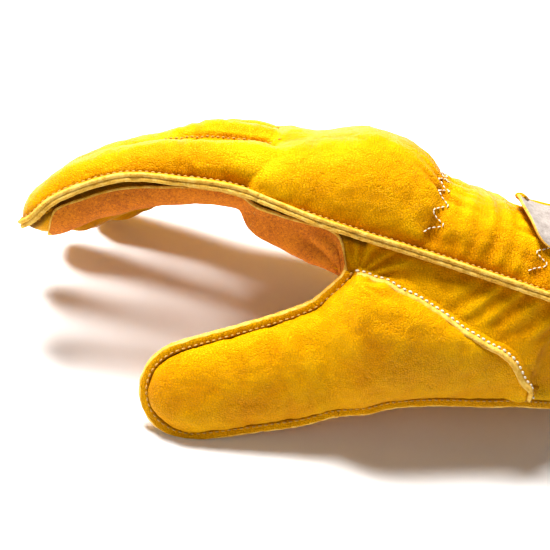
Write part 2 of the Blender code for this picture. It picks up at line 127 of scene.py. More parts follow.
def linear(code):
    """An sRGB hex colour as linear red, green and blue."""
    parts = [int(code[i:i + 2], 16) / 255 for i in (1, 3, 5)]
    return [p / 12.92 if p <= 0.04045 else ((p + 0.055) / 1.055) ** 2.4 for p in parts]


def room(points):
    """Hand-frame millimetres as room metres."""
    return np.asarray(points, float) @ np.array(TURN).T * MM + np.array(ORIGIN)


def profile(table, at):
    """A smooth curve through the table's points, flat past its ends."""
    at = min(max(at, table[0][0]), table[-1][0])
    last = len(table) - 1
    k = next(i for i in range(last) if at <= table[i + 1][0])
    (x0, y0), (x1, y1) = table[k], table[k + 1]
    t = (at - x0) / (x1 - x0)

    def slope(i):
        if i in (0, last):
            return 0.0
        before = (table[i][1] - table[i - 1][1]) / (table[i][0] - table[i - 1][0])
        after = (table[i + 1][1] - table[i][1]) / (table[i + 1][0] - table[i][0])
        return 0.0 if before * after <= 0 else 2 * before * after / (before + after)

    ends = y0 * (1 + 2 * t) * (1 - t) ** 2 + y1 * t * t * (3 - 2 * t)
    return ends + (x1 - x0) * (slope(k) * t * (1 - t) ** 2 - slope(k + 1) * t * t * (1 - t))


def rounded(share, power):
    return max(0.0, 1 - min(1.0, abs(share)) ** power) ** (1 / power)


def smooth(t):
    t = np.clip(t, 0.0, 1.0)
    return t * t * (3 - 2 * t)


def steps(low, high, count):
    return [low + (high - low) * i / (count - 1) for i in range(count)]


def turned(degrees, power):
    c, s = math.cos(math.radians(degrees)), math.sin(math.radians(degrees))
    return math.copysign(abs(c) ** (2 / power), c), math.copysign(abs(s) ** (2 / power), s)


def angle_at(height, power):
    return math.degrees(math.asin(math.copysign(abs(height) ** (power / 2), height)))


def resampled(points, count):
    """The same line with evenly spread points."""
    points = np.asarray(points, float)
    along = np.concatenate([[0], np.cumsum(np.linalg.norm(np.diff(points, axis=0), axis=1))])
    at = np.linspace(0, along[-1], count)
    return np.stack([np.interp(at, along, points[:, i]) for i in range(3)], axis=1)


def spaced(points, pitch):
    points = np.asarray(points, float)
    length = np.linalg.norm(np.diff(points, axis=0), axis=1).sum()
    return resampled(points, max(2, int(length / pitch) + 1))


def eased(points, rounds):
    """The line with its kinks smoothed out."""
    points = np.array(points, float)
    for _ in range(rounds):
        points[1:-1] = (points[:-2] + 2 * points[1:-1] + points[2:]) / 4
    return points


def unit(vectors):
    vectors = np.asarray(vectors, float)
    return vectors / np.maximum(np.linalg.norm(vectors, axis=-1, keepdims=True), 1e-9)


def rough(points, size, seed, octaves=3):
    """Smooth random heights of about -1 to 1, with features of one size in mm."""
    shift = Vector((seed * 17.3, seed * 5.1, seed * 9.7))
    return np.array([noise.fractal(Vector(p) / size + shift, 0.5, 2.0, octaves) for p in points])


def distance_to(points, line):
    """Each point's distance to a line's closest point, and which point that is."""
    points, line = np.asarray(points), np.asarray(line)
    nearest = np.full(len(points), 1e9)
    which = np.zeros(len(points), int)
    for start in range(0, len(points), 20000):
        part = points[start:start + 20000]
        gaps = ((part[:, None, :] - line[None]) ** 2).sum(axis=2)
        which[start:start + 20000] = gaps.argmin(axis=1)
        nearest[start:start + 20000] = np.sqrt(gaps.min(axis=1))
    return nearest, which


# ---------------------------------------------------------------- the hand's shape

def half_width(station):
    return profile(HALF_WIDTH, station)


def seam_z(station, share):
    return -profile(LITTLE_SEAM_DROP, station) * (share + 1) / 2


def hand_point(station, share, height):
    y = CENTRE_Y + share * half_width(station)
    return Vector((station * HAND_LENGTH, y, seam_z(station, share) + height))


def hand_back(station, share):
    return hand_point(station, share, profile(BACK_HEIGHT, station) * rounded(share, SQUARENESS))


def hand_palm(station, share):
    hollow = PALM_HOLLOW * math.exp(-(share / 0.5) ** 2) * max(0.0, 1 - max(station, 0) / 0.75)
    depth = profile(PALM_DEPTH, station) * (1 - hollow)
    return hand_point(station, share, -depth * rounded(share, SQUARENESS))


def set_in(station):
    return Vector((station * HAND_LENGTH, profile(SET_IN_Y, station), profile(SET_IN_Z, station)))


def lower_edge(station):
    return Vector((station * HAND_LENGTH, profile(LOWER_Y, station), profile(LOWER_Z, station)))


def hand_ring(station):
    """One closed section of the hand: over the back, under the palm and up the thumb side."""
    crotch, low = CROTCH.x / HAND_LENGTH, RING_LOW.x / HAND_LENGTH
    back = [hand_back(station, turned(180 - a, SQUARENESS)[0]) for a in steps(0, 180, 41)]
    shares = [1 - 1.38 * (1 - math.cos(math.radians(a))) for a in steps(0, 90, 17)]
    under = [hand_palm(station, share) for share in shares]
    if station < crotch:
        corner = Vector((station * HAND_LENGTH, CROTCH.y, CROTCH.z))
        t = float(smooth(max(station, 0) / crotch))
        start = hand_palm(station, -0.85).lerp(corner, t)
        side = [start]
    elif station < low:
        turn = (station - crotch) / (low - crotch)
        start = CROTCH.lerp(RING_LOW, turn)
        side = [start, set_in(station)]
    else:
        start = lower_edge(station)
        side = [start] + ([set_in(station)] if station < BASE_END else [])
    bulge = BALL_BULGE * float(smooth((CROTCH.z - start.z) / (CROTCH.z - RING_LOW.z)))
    ball = [under[-1].lerp(start, t) + Vector((0, bulge, -bulge)) for t in (0.35, 0.7)]
    side_run = [*side, back[0]]
    return np.concatenate([
        resampled(back, 64)[:-1],
        eased(resampled([*under, *ball, start], 72), 3)[:-1],
        resampled(side_run, 34)[:-1],
    ])


def hand_loops():
    """Sections from the webs of the fingers to just past the cuff, closing like a dome in front."""
    loops = []
    centre = np.array((0, CENTRE_Y + 1, 3.0))
    for x in (-11.9, -11.2, -9.5, -7, -4, -1, 2):
        ring = hand_ring(x / HAND_LENGTH)
        shrink = rounded((4 - x) / 16, 2.4)
        middle = centre * (0, 1, 1) + (x, 0, 0)
        ring = middle + (ring - middle) * (1, 0.93 + 0.07 * shrink, max(shrink, 0.05))
        loops.append(ring)
    for x in np.arange(5, HAND_LENGTH + 6, 3.0):
        loops.append(hand_ring(x / HAND_LENGTH))
        loops[-1][:, 0] = x
    return loops


def finger_frame(finger, along):
    """Middle, forward, sideways and upward directions of a finger at a distance."""
    size = FINGERS[finger]
    slope = math.radians(size["slope"])
    bend = math.radians(size["curl"]) / size["length"]
    turn = slope - bend * along
    forward = Vector((-math.cos(turn), 0, math.sin(turn)))
    reach = Vector((math.sin(turn) - math.sin(slope), 0, math.cos(turn) - math.cos(slope))) / bend
    splay = Matrix.Rotation(math.radians(size["splay"]), 3, "Z").inverted()
    forward, reach, sideways = splay @ forward, splay @ reach, splay @ Vector((0, 1, 0))
    return Vector((0, size["y"], size["z"])) + reach, forward, sideways, sideways.cross(forward)


def finger_point(finger, along, degrees, grow=0.0):
    """A point round a finger: 0 at the little-finger side, 90 on the back, 180 at the thumb's."""
    size = FINGERS[finger]
    middle, _, sideways, up = finger_frame(finger, along)
    rest = max(0.0, along - size["length"] + FINGER_TIP_ROUND) / FINGER_TIP_ROUND
    narrow = 0.45 + 0.55 * rounded(rest, 2)
    side, height = turned(degrees, FINGER_SQUARENESS)
    across = sideways * side * (size["half"] * narrow + grow)
    taper = rounded(rest, 2.2) * (BELLY if finger == "index" and along > 0 else 1)
    if height > 0:
        taper = rounded(max(0.0, along - size["length"] + BACK_TAPER) / BACK_TAPER, 1.9)
    return middle + across + up * height * (size["thick"] * taper + grow)


def finger_loops(finger):
    length = FINGERS[finger]["length"]
    stations = [*np.arange(-22, length - FINGER_TIP_ROUND, 3.0)]
    stations += [length - FINGER_TIP_ROUND * (1 - t) for t in (0.05, 0.3, 0.5, 0.68, 0.82, 0.92, 0.98)]
    return [np.array([finger_point(finger, along, a) for a in steps(0, 354, 60)])
            for along in stations]


def outer_seam_angle(finger, along):
    size = FINGERS[finger]
    rise = profile(OUTER_SEAM_RISE, along / size["length"])
    return angle_at(rise / size["thick"], FINGER_SQUARENESS)


def thumb_frame():
    forward = Vector((-math.cos(THUMB_SLOPE) * math.cos(THUMB_LEAN), -math.sin(THUMB_LEAN),
                      -math.sin(THUMB_SLOPE)))
    upward = Vector((-math.sin(THUMB_SLOPE), 0, math.cos(THUMB_SLOPE)))
    return forward, upward


def thumb_section(along):
    """Upper edge, lower edge and half thickness of the thumb pouch at a distance."""
    forward, upward = thumb_frame()
    rest = max(0.0, along - THUMB_LENGTH + THUMB_TIP_ROUND) / THUMB_TIP_ROUND
    turn = along / THUMB_LENGTH
    half = profile(THUMB_HALF_WIDTH, turn) * rounded(rest, 2.1)
    thick = profile(THUMB_HALF_THICK, turn) * rounded(rest, 2.6)
    middle = THUMB_ROOT + forward * along
    low = profile(THUMB_LOW_SWELL, turn) * rounded(rest, 2.1)
    return middle + upward * half, middle - upward * (half + low), thick


def thumb_loops():
    """The thumb pouch and the ball of the thumb, from the tip back to where the seams meet."""
    sections = []
    for t in (0.985, 0.94, 0.86, 0.76, 0.62, 0.45, 0.25):
        sections.append(thumb_section(THUMB_LENGTH - THUMB_TIP_ROUND * (1 - t)))
    for along in np.arange(THUMB_LENGTH - THUMB_TIP_ROUND, 6, -4.0):
        sections.append(thumb_section(along))
    crotch, low = CROTCH.x / HAND_LENGTH, RING_LOW.x / HAND_LENGTH
    for u in steps(0, 1, 16):
        top = set_in(crotch + (BASE_END - crotch) * u)
        bottom = lower_edge(low + (BASE_END - low) * u)
        thick = RING_HALF_THICK * (1 - float(smooth(u))) + 2.5
        sections.append((top, bottom, thick))
    loops = []
    for top, bottom, thick in sections:
        top, bottom = np.array(top), np.array(bottom)
        middle, reach = (top + bottom) / 2, (top - bottom) / 2
        ring = []
        for a in steps(0, 352.5, 48):
            side, height = turned(a, 2.25)
            ring.append(middle + reach * height - np.array((0, thick * side, 0)))
        loops.append(np.array(ring))
    return loops


def lofted(net, loops):
    """A closed skin through loops of the same count."""
    rows = [[net.verts.new(point) for point in loop] for loop in loops]
    for first, second in zip(rows, rows[1:]):
        for i in range(len(first)):
            k = (i + 1) % len(first)
            net.faces.new((first[i], first[k], second[k], second[i]))
    for row in (rows[0], rows[-1]):
        middle = net.verts.new(sum((v.co for v in row), Vector()) / len(row))
        for i in range(len(row)):
            net.faces.new((row[i], row[(i + 1) % len(row)], middle))


def one_skin(voxel):
    """Hand, fingers and thumb melted into one closed skin. Returns points and square faces."""
    net = bmesh.new()
    for loops in (hand_loops(), thumb_loops(), *(finger_loops(f) for f in FINGERS)):
        before = len(net.faces)
        lofted(net, loops)
        net.faces.ensure_lookup_table()
        bmesh.ops.recalc_face_normals(net, faces=net.faces[before:])
    mesh = bpy.data.meshes.new("melt")
    net.to_mesh(mesh)
    net.free()
    shape = bpy.data.objects.new("melt", mesh)
    bpy.context.scene.collection.objects.link(shape)
    melt = shape.modifiers.new("Melt", "REMESH")
    melt.mode = "VOXEL"
    melt.voxel_size = voxel
    graph = bpy.context.evaluated_depsgraph_get()
    whole = bpy.data.meshes.new_from_object(shape.evaluated_get(graph))
    bpy.data.objects.remove(shape)
    points = np.empty(len(whole.vertices) * 3)
    whole.vertices.foreach_get("co", points)
    faces = np.array([tuple(f.vertices) for f in whole.polygons if len(f.vertices) == 4])
    bpy.data.meshes.remove(whole)
    return points.reshape(-1, 3), faces


def edges_of(faces):
    sides = np.concatenate([faces[:, [0, 1]], faces[:, [1, 2]], faces[:, [2, 3]], faces[:, [3, 0]]])
    return np.unique(np.sort(sides, axis=1), axis=0)


def relaxed(points, edges, rounds):
    """Smooths away the stair steps and keeps the volume."""
    count = np.bincount(edges.ravel(), minlength=len(points))[:, None]
    for k in range(rounds):
        total = np.zeros_like(points)
        np.add.at(total, edges[:, 0], points[edges[:, 1]])
        np.add.at(total, edges[:, 1], points[edges[:, 0]])
        pull = 0.6 if k % 2 == 0 else -0.45
        points = points + pull * (total / np.maximum(count, 1) - points)
    return points


def normals_of(points, faces):
    a, b, c, d = (points[faces[:, i]] for i in range(4))
    flat = np.cross(c - a, d - b)
    total = np.zeros_like(points)
    for i in range(4):
        np.add.at(total, faces[:, i], flat)
    return unit(total)


# ---------------------------------------------------------------- lines on the glove

def index_seam_line():
    """The outseam from the tip of the index finger to the cuff."""
    length = FINGERS["index"]["length"]
    finger = [finger_point("index", along, 180 - outer_seam_angle("index", along))
              for along in steps(length - 0.5, 16, 40)]
    hand = [hand_back(station, -1) for station in steps(0.10, BINDING_START, 50)]
    return eased(spaced([*finger, *hand], 1.5), 10)


def little_seam_line():
    length = FINGERS["little"]["length"]
    finger = [finger_point("little", along, outer_seam_angle("little", along))
              for along in steps(length - 0.5, 16, 30)]
    hand = [hand_back(station, 1) for station in steps(0.10, BINDING_START, 50)]
    return eased(spaced([*finger, *hand], 1.5), 10)


def thumb_seam_line():
    """Round the thumb, from its crotch over the tip and along the lower outseam to the cuff."""
    top, bottom = [], []
    stops = [*steps(8, THUMB_LENGTH - THUMB_TIP_ROUND, 20)]
    stops += [THUMB_LENGTH - THUMB_TIP_ROUND * (1 - t) for t in
              (0.15, 0.3, 0.45, 0.58, 0.7, 0.8, 0.88, 0.94, 0.98, 1)]
    for along in stops:
        high, low, _ = thumb_section(along)
        top.append(high)
        bottom.append(low)
    lower = [lower_edge(station) for station in
             steps(RING_LOW.x / HAND_LENGTH + 0.02, BINDING_START, 40)]
    web = [CROTCH + Vector((-1.5, 0.5, 1.0)), CROTCH + Vector((-2.2, 0.8, -3.0))]
    return eased(spaced([*web, *top, *bottom[::-1], *lower], 1.2), 8)


def set_in_line():
    stations = steps(CROTCH.x / HAND_LENGTH + 0.006, BASE_END, 60)
    line = [set_in(station) for station in stations]
    line += [set_in(BASE_END).lerp(lower_edge(BASE_END + 0.03), t) for t in (0.4, 0.75)]
    return eased(spaced(line, 1.2), 10)


# Degrees round the finger of its back seams: the thumb's side, the little finger's side
DORSAL_ANGLES = (128, 48)


def dorsal_line(finger, side):
    """The fine seam along the edge of a finger's back: side -1 is the thumb's side."""
    length = FINGERS[finger]["length"]
    line = []
    for along in steps(length - 8, -10, 50):
        angle = DORSAL_ANGLES[side > 0]
        line.append(finger_point(finger, along, angle, 2.0))
    return eased(spaced(line, 1.5), 4)


# ---------------------------------------------------------------- the leather skin

# The leather's relief, in mm: (height, width) of its unevenness; width and share of the two
# folds under the elastic; how high the gathers stand, how far they run, how deep the tape sits
UNEVENNESS = ((0.55, 26), (0.30, 9), (0.10, 3.5))
FOLDS = ((6.4, 0.65), (3.9, 0.35))
GATHERS = {"front": dict(high=1.0, reach=13, deep=1.3), "rear": dict(high=0.9, reach=12, deep=1.0)}
TAPE_DENT = 3.0
RIPPLE_WIDTH, RIPPLE_HEIGHT, RIPPLE_REACH = 7.5, 0.35, 22
FAN_FOLDS, FAN_HEIGHT, FAN_MIDDLE, FAN_REACH = 15, 0.75, 14, 15
SWELL_WIDTH, SWELL_HEIGHT = 9.5, 0.6
KNUCKLE_CREASES = (34, 40, 58, 63)
THUMB_CREASES = (18, 27, 44)
# Each seam's groove: (line, depth, width) in mm; the width also spreads the painted shade in the
# groove
SEAM_GROOVES = (("index_seam", 0.9, 1.5), ("little_seam", 0.9, 1.5), ("thumb_seam", 1.1, 1.3))


def gathers(points, line_x, reach):
    """Folds that elastic tape pulls into the back, running along the hand."""
    (wide, most), (fine, rest) = FOLDS
    across = points[:, 1] + 6 * rough(points, 30, 4, 1)
    fold = most * np.sin(across * 2 * math.pi / wide)
    fold = fold + rest * np.sin(across * 2 * math.pi / fine + 1)
    near = np.exp(-((points[:, 0] - line_x) / reach) ** 2)
    return fold * near


def shaped(points):
    """How far each point of the skin moves along its normal, and how much painted shade it takes in
    and beside a seam.
    """
    x, y, z = points.T
    height = sum(high * rough(points, width, seed)
                 for seed, (high, width) in enumerate(UNEVENNESS, 1))
    back = smooth((z - seam_drop(y) - 2) / 6)
    front_x = ELASTICS["front"] * HAND_LENGTH
    rear_x = ELASTICS["rear"] * HAND_LENGTH
    for name, line_x in (("front", front_x), ("rear", rear_x)):
        pull = GATHERS[name]
        height += back * pull["high"] * gathers(points, line_x, pull["reach"])
        height -= back * pull["deep"] * np.exp(-((x - line_x) / TAPE_DENT) ** 2)
    middle = np.exp(-((x - (front_x + rear_x) / 2) / RIPPLE_REACH) ** 2)
    ripple = np.sin(x * 2 * math.pi / RIPPLE_WIDTH + 2.5 * rough(points, 16, 5, 1))
    height += back * RIPPLE_HEIGHT * middle * ripple
    # Wrinkles that fan out from the web of the thumb
    web = points - np.array(CROTCH)
    spread = np.linalg.norm(web[:, [0, 2]], axis=1)
    angle = np.arctan2(web[:, 2], web[:, 0])
    fan = np.sin(angle * FAN_FOLDS + 2.2 * rough(points, 12, 6, 1))
    side = smooth((-y - 4) / 6) * smooth((z + 22) / 6) * smooth((2 - z) / 4)
    height += FAN_HEIGHT * fan * np.exp(-((spread - FAN_MIDDLE) / FAN_REACH) ** 2) * side
    swell = np.sin((x - 0.6 * z) * 2 * math.pi / SWELL_WIDTH + 2.0 * rough(points, 18, 7, 1))
    height += SWELL_HEIGHT * swell * side * smooth((x - 70) / 20)
    # Bending creases across the fingers and the thumb
    for finger in FINGERS:
        for k, along in enumerate(KNUCKLE_CREASES):
            spot, forward, _, _ = finger_frame(finger, along)
            away = (points - np.array(spot)) @ np.array(forward)
            near = np.linalg.norm(points - np.array(spot), axis=1) < 24
            bend = away + 2.2 * rough(points, 12, 11 + k, 1)
            height -= near * (0.55 - 0.1 * k) * np.exp(-(bend / 1.6) ** 2)
    forward, _ = thumb_frame()
    for k, along in enumerate(THUMB_CREASES):
        away = (points - np.array(THUMB_ROOT + forward * along)) @ np.array(forward)
        bend = away + 4 * rough(points, 18, 21 + k, 1)
        height -= 0.35 * np.exp(-(bend / 2.0) ** 2) * smooth((-y - 14) / 5) * (x < 45)
    height += 1.7 * np.exp(-((x + 13) / 11) ** 2) * smooth((12 - y) / 8) * smooth((z - 3) / 7)
    # Painted shade: dark in the seam grooves, a painted shadow band below the index finger's outseam,
    # and dark lines along the fine back seams.
    groove_shade = np.zeros(len(points))
    lines = BUILT["lines"]
    for name, depth, width in SEAM_GROOVES:
        away, which = distance_to(points, lines[name])
        height -= depth * np.exp(-(away / width) ** 2)
        groove_shade = np.maximum(groove_shade, np.exp(-(away / (width * 1.25)) ** 2))
        if name == "thumb_seam":
            height += 2.6 * np.exp(-(away / 5.0) ** 2) * smooth((x - 114) / 10)
            groove_shade *= 1 - 0.8 * smooth((x - 114) / 10) * (z < -20)
        if name == "index_seam":
            # Painted shadow band on the leather just below the index finger's outseam
            below = (points[:, 2] < lines[name][which][:, 2] - 0.8) & (x < CROTCH.x)
            groove_shade = np.maximum(groove_shade, 0.9 * below * np.exp(-((away - 2.5) / 2.4) ** 4))
    for finger, side_of in DORSAL_SEAMS:
        away, _ = distance_to(points, lines[finger + str(side_of)])
        height += 0.55 * np.exp(-((away - 1.9) / 1.1) ** 2) - 1.2 * np.exp(-(away / 0.9) ** 2)
        groove_shade = np.maximum(groove_shade, 0.5 * np.exp(-(away / 0.8) ** 2))
    return height, groove_shade


def raised(points):
    """Lifts the backs of the fingers at their roots, where the knuckles fill the leather."""
    x, y, z = points.T
    lift = np.zeros(len(points))
    for root_y, rise in ROOT_RISE:
        root = np.exp(-(((x - ROOT_X) / ROOT_REACH) ** 4 + ((y - root_y) / ROOT_HALF) ** 4))
        lift += rise * root * smooth((z - 2) / 9)
    return points + lift[:, None] * np.array((0.0, 0.0, 1.0))


def seam_drop(y):
    return -10.0 * (np.clip(y, -15, 84) + 15) / 99


DORSAL_SEAMS = (("index", 1), ("middle", -1), ("middle", 1), ("ring", -1), ("ring", 1),
                ("little", -1))


def body_of_faces(centres):
    """Each face's body: 0 hand, 1 to 4 the fingers, 5 the thumb."""
    x, y, z = centres.T
    body = np.zeros(len(centres), int)
    ahead = x < ROOT_SPLIT
    away = []
    for finger in FINGERS:
        axis = [finger_frame(finger, along)[0] for along in steps(-20, 112, 50)]
        away.append(distance_to(centres, np.array(axis))[0])
    nearest = np.argmin(away, axis=0) + 1
    forward, _ = thumb_frame()
    along = (centres - np.array(THUMB_ROOT)) @ np.array(forward)
    thumb = (along > 8) & (z < -20) & (y < 8) & (np.min(away, axis=0) > 20)
    body[ahead & ~thumb] = nearest[ahead & ~thumb]
    body[thumb] = 5
    return body


def piece_of_hand(centres):
    """Which cut piece of the hand's leather a face lies in."""
    name = np.where(centres[:, 2] > seam_drop(centres[:, 1]), 0, 2)
    for k, point in enumerate(centres):
        if point[1] > 4 or point[2] > 0 or point[0] < CROTCH.x:
            continue
        station = point[0] / HAND_LENGTH
        seam = set_in(station).z if station < BASE_END else -99
        low = lower_edge(station).z if station > 0.385 else -99
        edge = min(lower_edge(max(station, 0.385)).y + 1.0, 0)
        ring = CROTCH.y + 3.5 if station < 0.385 else edge
        if point[2] < low - 1 or (point[1] > ring and point[2] < -6):
            continue
        name[k] = 1 if point[2] > seam else 3
    return name


# Below this height in metres the leather is pressed flat against the floor
REST_SOFT = 0.0015


def make_mesh(name, points, faces, materials, indices, attributes=None, normals=None):
    placed = np.array(room(points))
    low = placed[:, 2] < REST_SOFT
    placed[low, 2] = REST_SOFT * np.exp(placed[low, 2] / REST_SOFT - 1)
    mesh = bpy.data.meshes.new(name)
    mesh.from_pydata([tuple(p) for p in placed], [], [tuple(int(i) for i in f) for f in faces])
    for material in materials:
        mesh.materials.append(material)
    mesh.polygons.foreach_set("material_index", np.asarray(indices, np.int32))
    mesh.shade_smooth()
    for key, values in (attributes or {}).items():
        layer = mesh.attributes.new(key, "FLOAT", "POINT")
        layer.data.foreach_set("value", np.asarray(values, np.float32))
    mesh.validate()
    if normals is not None:
        mesh.normals_split_custom_set_from_vertices([tuple(n) for n in normals @ np.array(TURN).T])
    made = bpy.data.objects.new(name, mesh)
    bpy.context.scene.collection.objects.link(made)
    return made


def leather_piece(name, chosen, materials, thick):
    """The chosen faces of the skin, given their thickness inwards and a cut edge all round."""
    skin = BUILT["skin"]
    faces = skin["faces"][chosen]
    used, local = np.unique(faces, return_inverse=True)
    local = local.reshape(-1, 4)
    points, normals = skin["points"][used], skin["normals"][used]
    count = len(used)
    inner = points - normals * thick
    sides = np.concatenate([local[:, [k, (k + 1) % 4]] for k in range(4)])
    keys = {tuple(side) for side in map(tuple, sides)}
    rim = [(b, a, a + count, b + count) for a, b in keys if (b, a) not in keys]
    every = np.concatenate([local, local[:, ::-1] + count, np.array(rim).reshape(-1, 4)])
    index = np.concatenate([np.zeros(len(local)), np.ones(len(local)), np.full(len(rim), 2)])
    facts = {key: np.concatenate([skin[key][used]] * 2) for key in ("tone_and_relief_shade", "groove_shade")}
    return make_mesh(name, np.concatenate([points, inner]), every, materials, index, facts,
                     np.concatenate([normals, -normals]))


def skin_tree():
    skin = BUILT["skin"]
    return BVHTree.FromPolygons([tuple(p) for p in skin["points"]],
                                [tuple(int(i) for i in f) for f in skin["faces"]])


def on_skin(points, lift=0.0, soft=None):
    """The nearest places on the leather, lifted off it, and the leather's directions there."""
    tree = BUILT["tree"]
    places, outs = [], []
    for point in points:
        place, out, _, _ = tree.find_nearest(Vector(point))
        places.append(place)
        outs.append(out)
    outs = unit(eased(np.array(outs), soft or 6))
    return np.array(places) + outs * lift, outs


# ---------------------------------------------------------------- swept edges

def swept(net, path, outs, outline, jitter=0.0, seed=0, ups=None):
    """Draws an outline of (out, up) points along a path. Returns each face's outline side."""
    path = np.asarray(path, float)
    if ups is None:
        ahead = unit(np.gradient(path, axis=0))
        outs = unit(outs - (outs * ahead).sum(axis=1, keepdims=True) * ahead)
        ups = unit(np.cross(ahead, outs))
    chance = random.Random(seed)
    rows = []
    for k, point in enumerate(path):
        row = []
        for out, up in outline:
            wave = noise.noise(Vector((point[0] * 0.35, point[2] * 0.35 + out * 3, up * 2 + seed)))
            fine = noise.noise(Vector((point[0] * 1.1, point[2] * 1.1 + seed, up * 5)))
            push = jitter * (wave + 0.6 * fine + 0.2 * (chance.random() - 0.5))
            place = point + outs[k] * (out + (push if out > 0 else 0)) + ups[k] * (up + 0.35 * push)
            row.append(net.verts.new(place))
        rows.append(row)
    count = len(outline)
    sides = []
    for first, second in zip(rows, rows[1:]):
        for i in range(count):
            j = (i + 1) % count
            net.faces.new((first[i], first[j], second[j], second[i]))
            sides.append(i)
    for row in (rows[0], rows[-1]):
        net.faces.new(row)
        sides.append(-1)
    return sides


def swept_object(name, runs, outline, edge_sides, materials, jitter=0.0, seed=0):
    """One object from (path, outs) runs. Sides in edge_sides take the second material."""
    net = bmesh.new()
    sides = []
    for k, (path, outs, *ups) in enumerate(runs):
        sides += swept(net, path, outs, outline, jitter, seed + k, *ups)
    bmesh.ops.recalc_face_normals(net, faces=net.faces[:])
    net.verts.ensure_lookup_table()
    points = np.array([v.co for v in net.verts])
    faces = [[v.index for v in f.verts] for f in net.faces]
    net.free()
    index = [1 if side in edge_sides else 0 for side in sides]
    turns = len(points) // len(outline)
    reach = np.tile([out for out, _ in outline], turns)
    # Painted shade on the flange's inner side, where it meets the leather
    groove_shade = np.clip((0.5 - reach) / 1.1, 0, 1)
    return make_mesh(name, points, faces, materials, index,
                     {"tone_and_relief_shade": np.full(len(points), 0.55), "groove_shade": groove_shade})


# A seam's two raw edges, side by side: (out, up) in mm. The flange grows out of the seam
FLANGE = ((-1.6, 0.2), (-0.9, 0.7), (-0.1, 1.45), (0.8, 1.8), (1.9, 1.9), (3.0, 1.85),
          (3.45, 1.6), (3.6, 0.9), (3.4, 0.3), (2.7, 0.0), (3.4, -0.3), (3.6, -0.9),
          (3.45, -1.6), (3.0, -1.85), (1.9, -1.9), (0.8, -1.8), (-0.1, -1.45), (-0.9, -0.7),
          (-1.6, -0.2))
FLANGE_EDGE = (5, 6, 7, 8, 9, 10, 11, 12)
LAP = ((-5.5, -0.6), (-4.0, 0.35), (-2.0, 0.8), (-0.6, 1.05), (0.1, 0.75), (0.8, 1.1), (1.8, 1.4),
       (2.8, 1.35), (3.3, 0.9), (3.0, -0.5))
LAP_EDGE = (5, 6, 7, 8)


# ---------------------------------------------------------------- materials

def add(tree, kind, settings=None, values=None):
    """Adds a node, with its settings, and each input as a value or a link from a socket."""
    node = tree.nodes.new(kind)
    for key, value in (settings or {}).items():
        setattr(node, key, value)
    for key, value in (values or {}).items():
        if isinstance(value, bpy.types.NodeSocket):
            tree.links.new(value, node.inputs[key])
        else:
            node.inputs[key].default_value = value
    return node


def ramp(tree, factor, stops):
    """A colour ramp from (place, hex) stops."""
    node = add(tree, "ShaderNodeValToRGB", values={"Fac": factor})
    bar = node.color_ramp.elements
    while len(bar) < len(stops):
        bar.new(0.5)
    for element, (place, code) in zip(bar, stops):
        element.position = place
        element.color = (*linear(code), 1)
    return node.outputs["Color"]


def start_material(name, rough_value, sheen=0.0, sheen_colour="#FFFFFF", ior=1.45):
    """A Principled material and its pattern coordinates, in millimetres."""
    made = bpy.data.materials.new(name)
    made.use_nodes = True
    tree = made.node_tree
    shader = tree.nodes["Principled BSDF"]
    shader.inputs["Roughness"].default_value = rough_value
    shader.inputs["IOR"].default_value = ior
    shader.inputs["Sheen Weight"].default_value = sheen
    shader.inputs["Sheen Roughness"].default_value = 0.6
    shader.inputs["Sheen Tint"].default_value = (*linear(sheen_colour), 1)
    where = add(tree, "ShaderNodeTexCoord")
    scaled = add(tree, "ShaderNodeMapping", values={"Vector": where.outputs["Object"],
                                                     "Scale": (1000, 1000, 1000)})
    return made, tree, shader, scaled.outputs["Vector"]


def speckle(tree, where, size, detail=3.0, roughness=0.5, distortion=0.0):
    """Noise whose features are about a size in mm."""
    node = add(tree, "ShaderNodeTexNoise", values={
        "Vector": where, "Scale": 1 / size, "Detail": detail, "Roughness": roughness,
        "Distortion": distortion})
    return node.outputs["Fac"]


def calc(tree, how, a, b=0.0, c=0.0):
    node = add(tree, "ShaderNodeMath", {"operation": how})
    for socket, value in zip(node.inputs, (a, b, c)):
        if isinstance(value, bpy.types.NodeSocket):
            tree.links.new(value, socket)
        else:
            socket.default_value = value
    return node.outputs[0]


def mixed(tree, factor, a, b, how="MIX"):
    node = add(tree, "ShaderNodeMix", {"data_type": "RGBA", "blend_type": how})
    for key, value in (("Factor_Float", factor), ("A_Color", a), ("B_Color", b)):
        socket = next(s for s in node.inputs if s.identifier == key)
        if isinstance(value, bpy.types.NodeSocket):
            tree.links.new(value, socket)
        else:
            socket.default_value = value
    return next(s for s in node.outputs if s.identifier == "Result_Color")


def bumped(tree, shader, layers):
    """Chains bumps: (height socket, distance in mm, strength)."""
    normal = None
    for height, distance, strength in layers:
        values = {"Height": height, "Distance": distance * MM, "Strength": strength}
        if normal is not None:
            values["Normal"] = normal
        normal = add(tree, "ShaderNodeBump", values=values).outputs["Normal"]
    tree.links.new(normal, shader.inputs["Normal"])


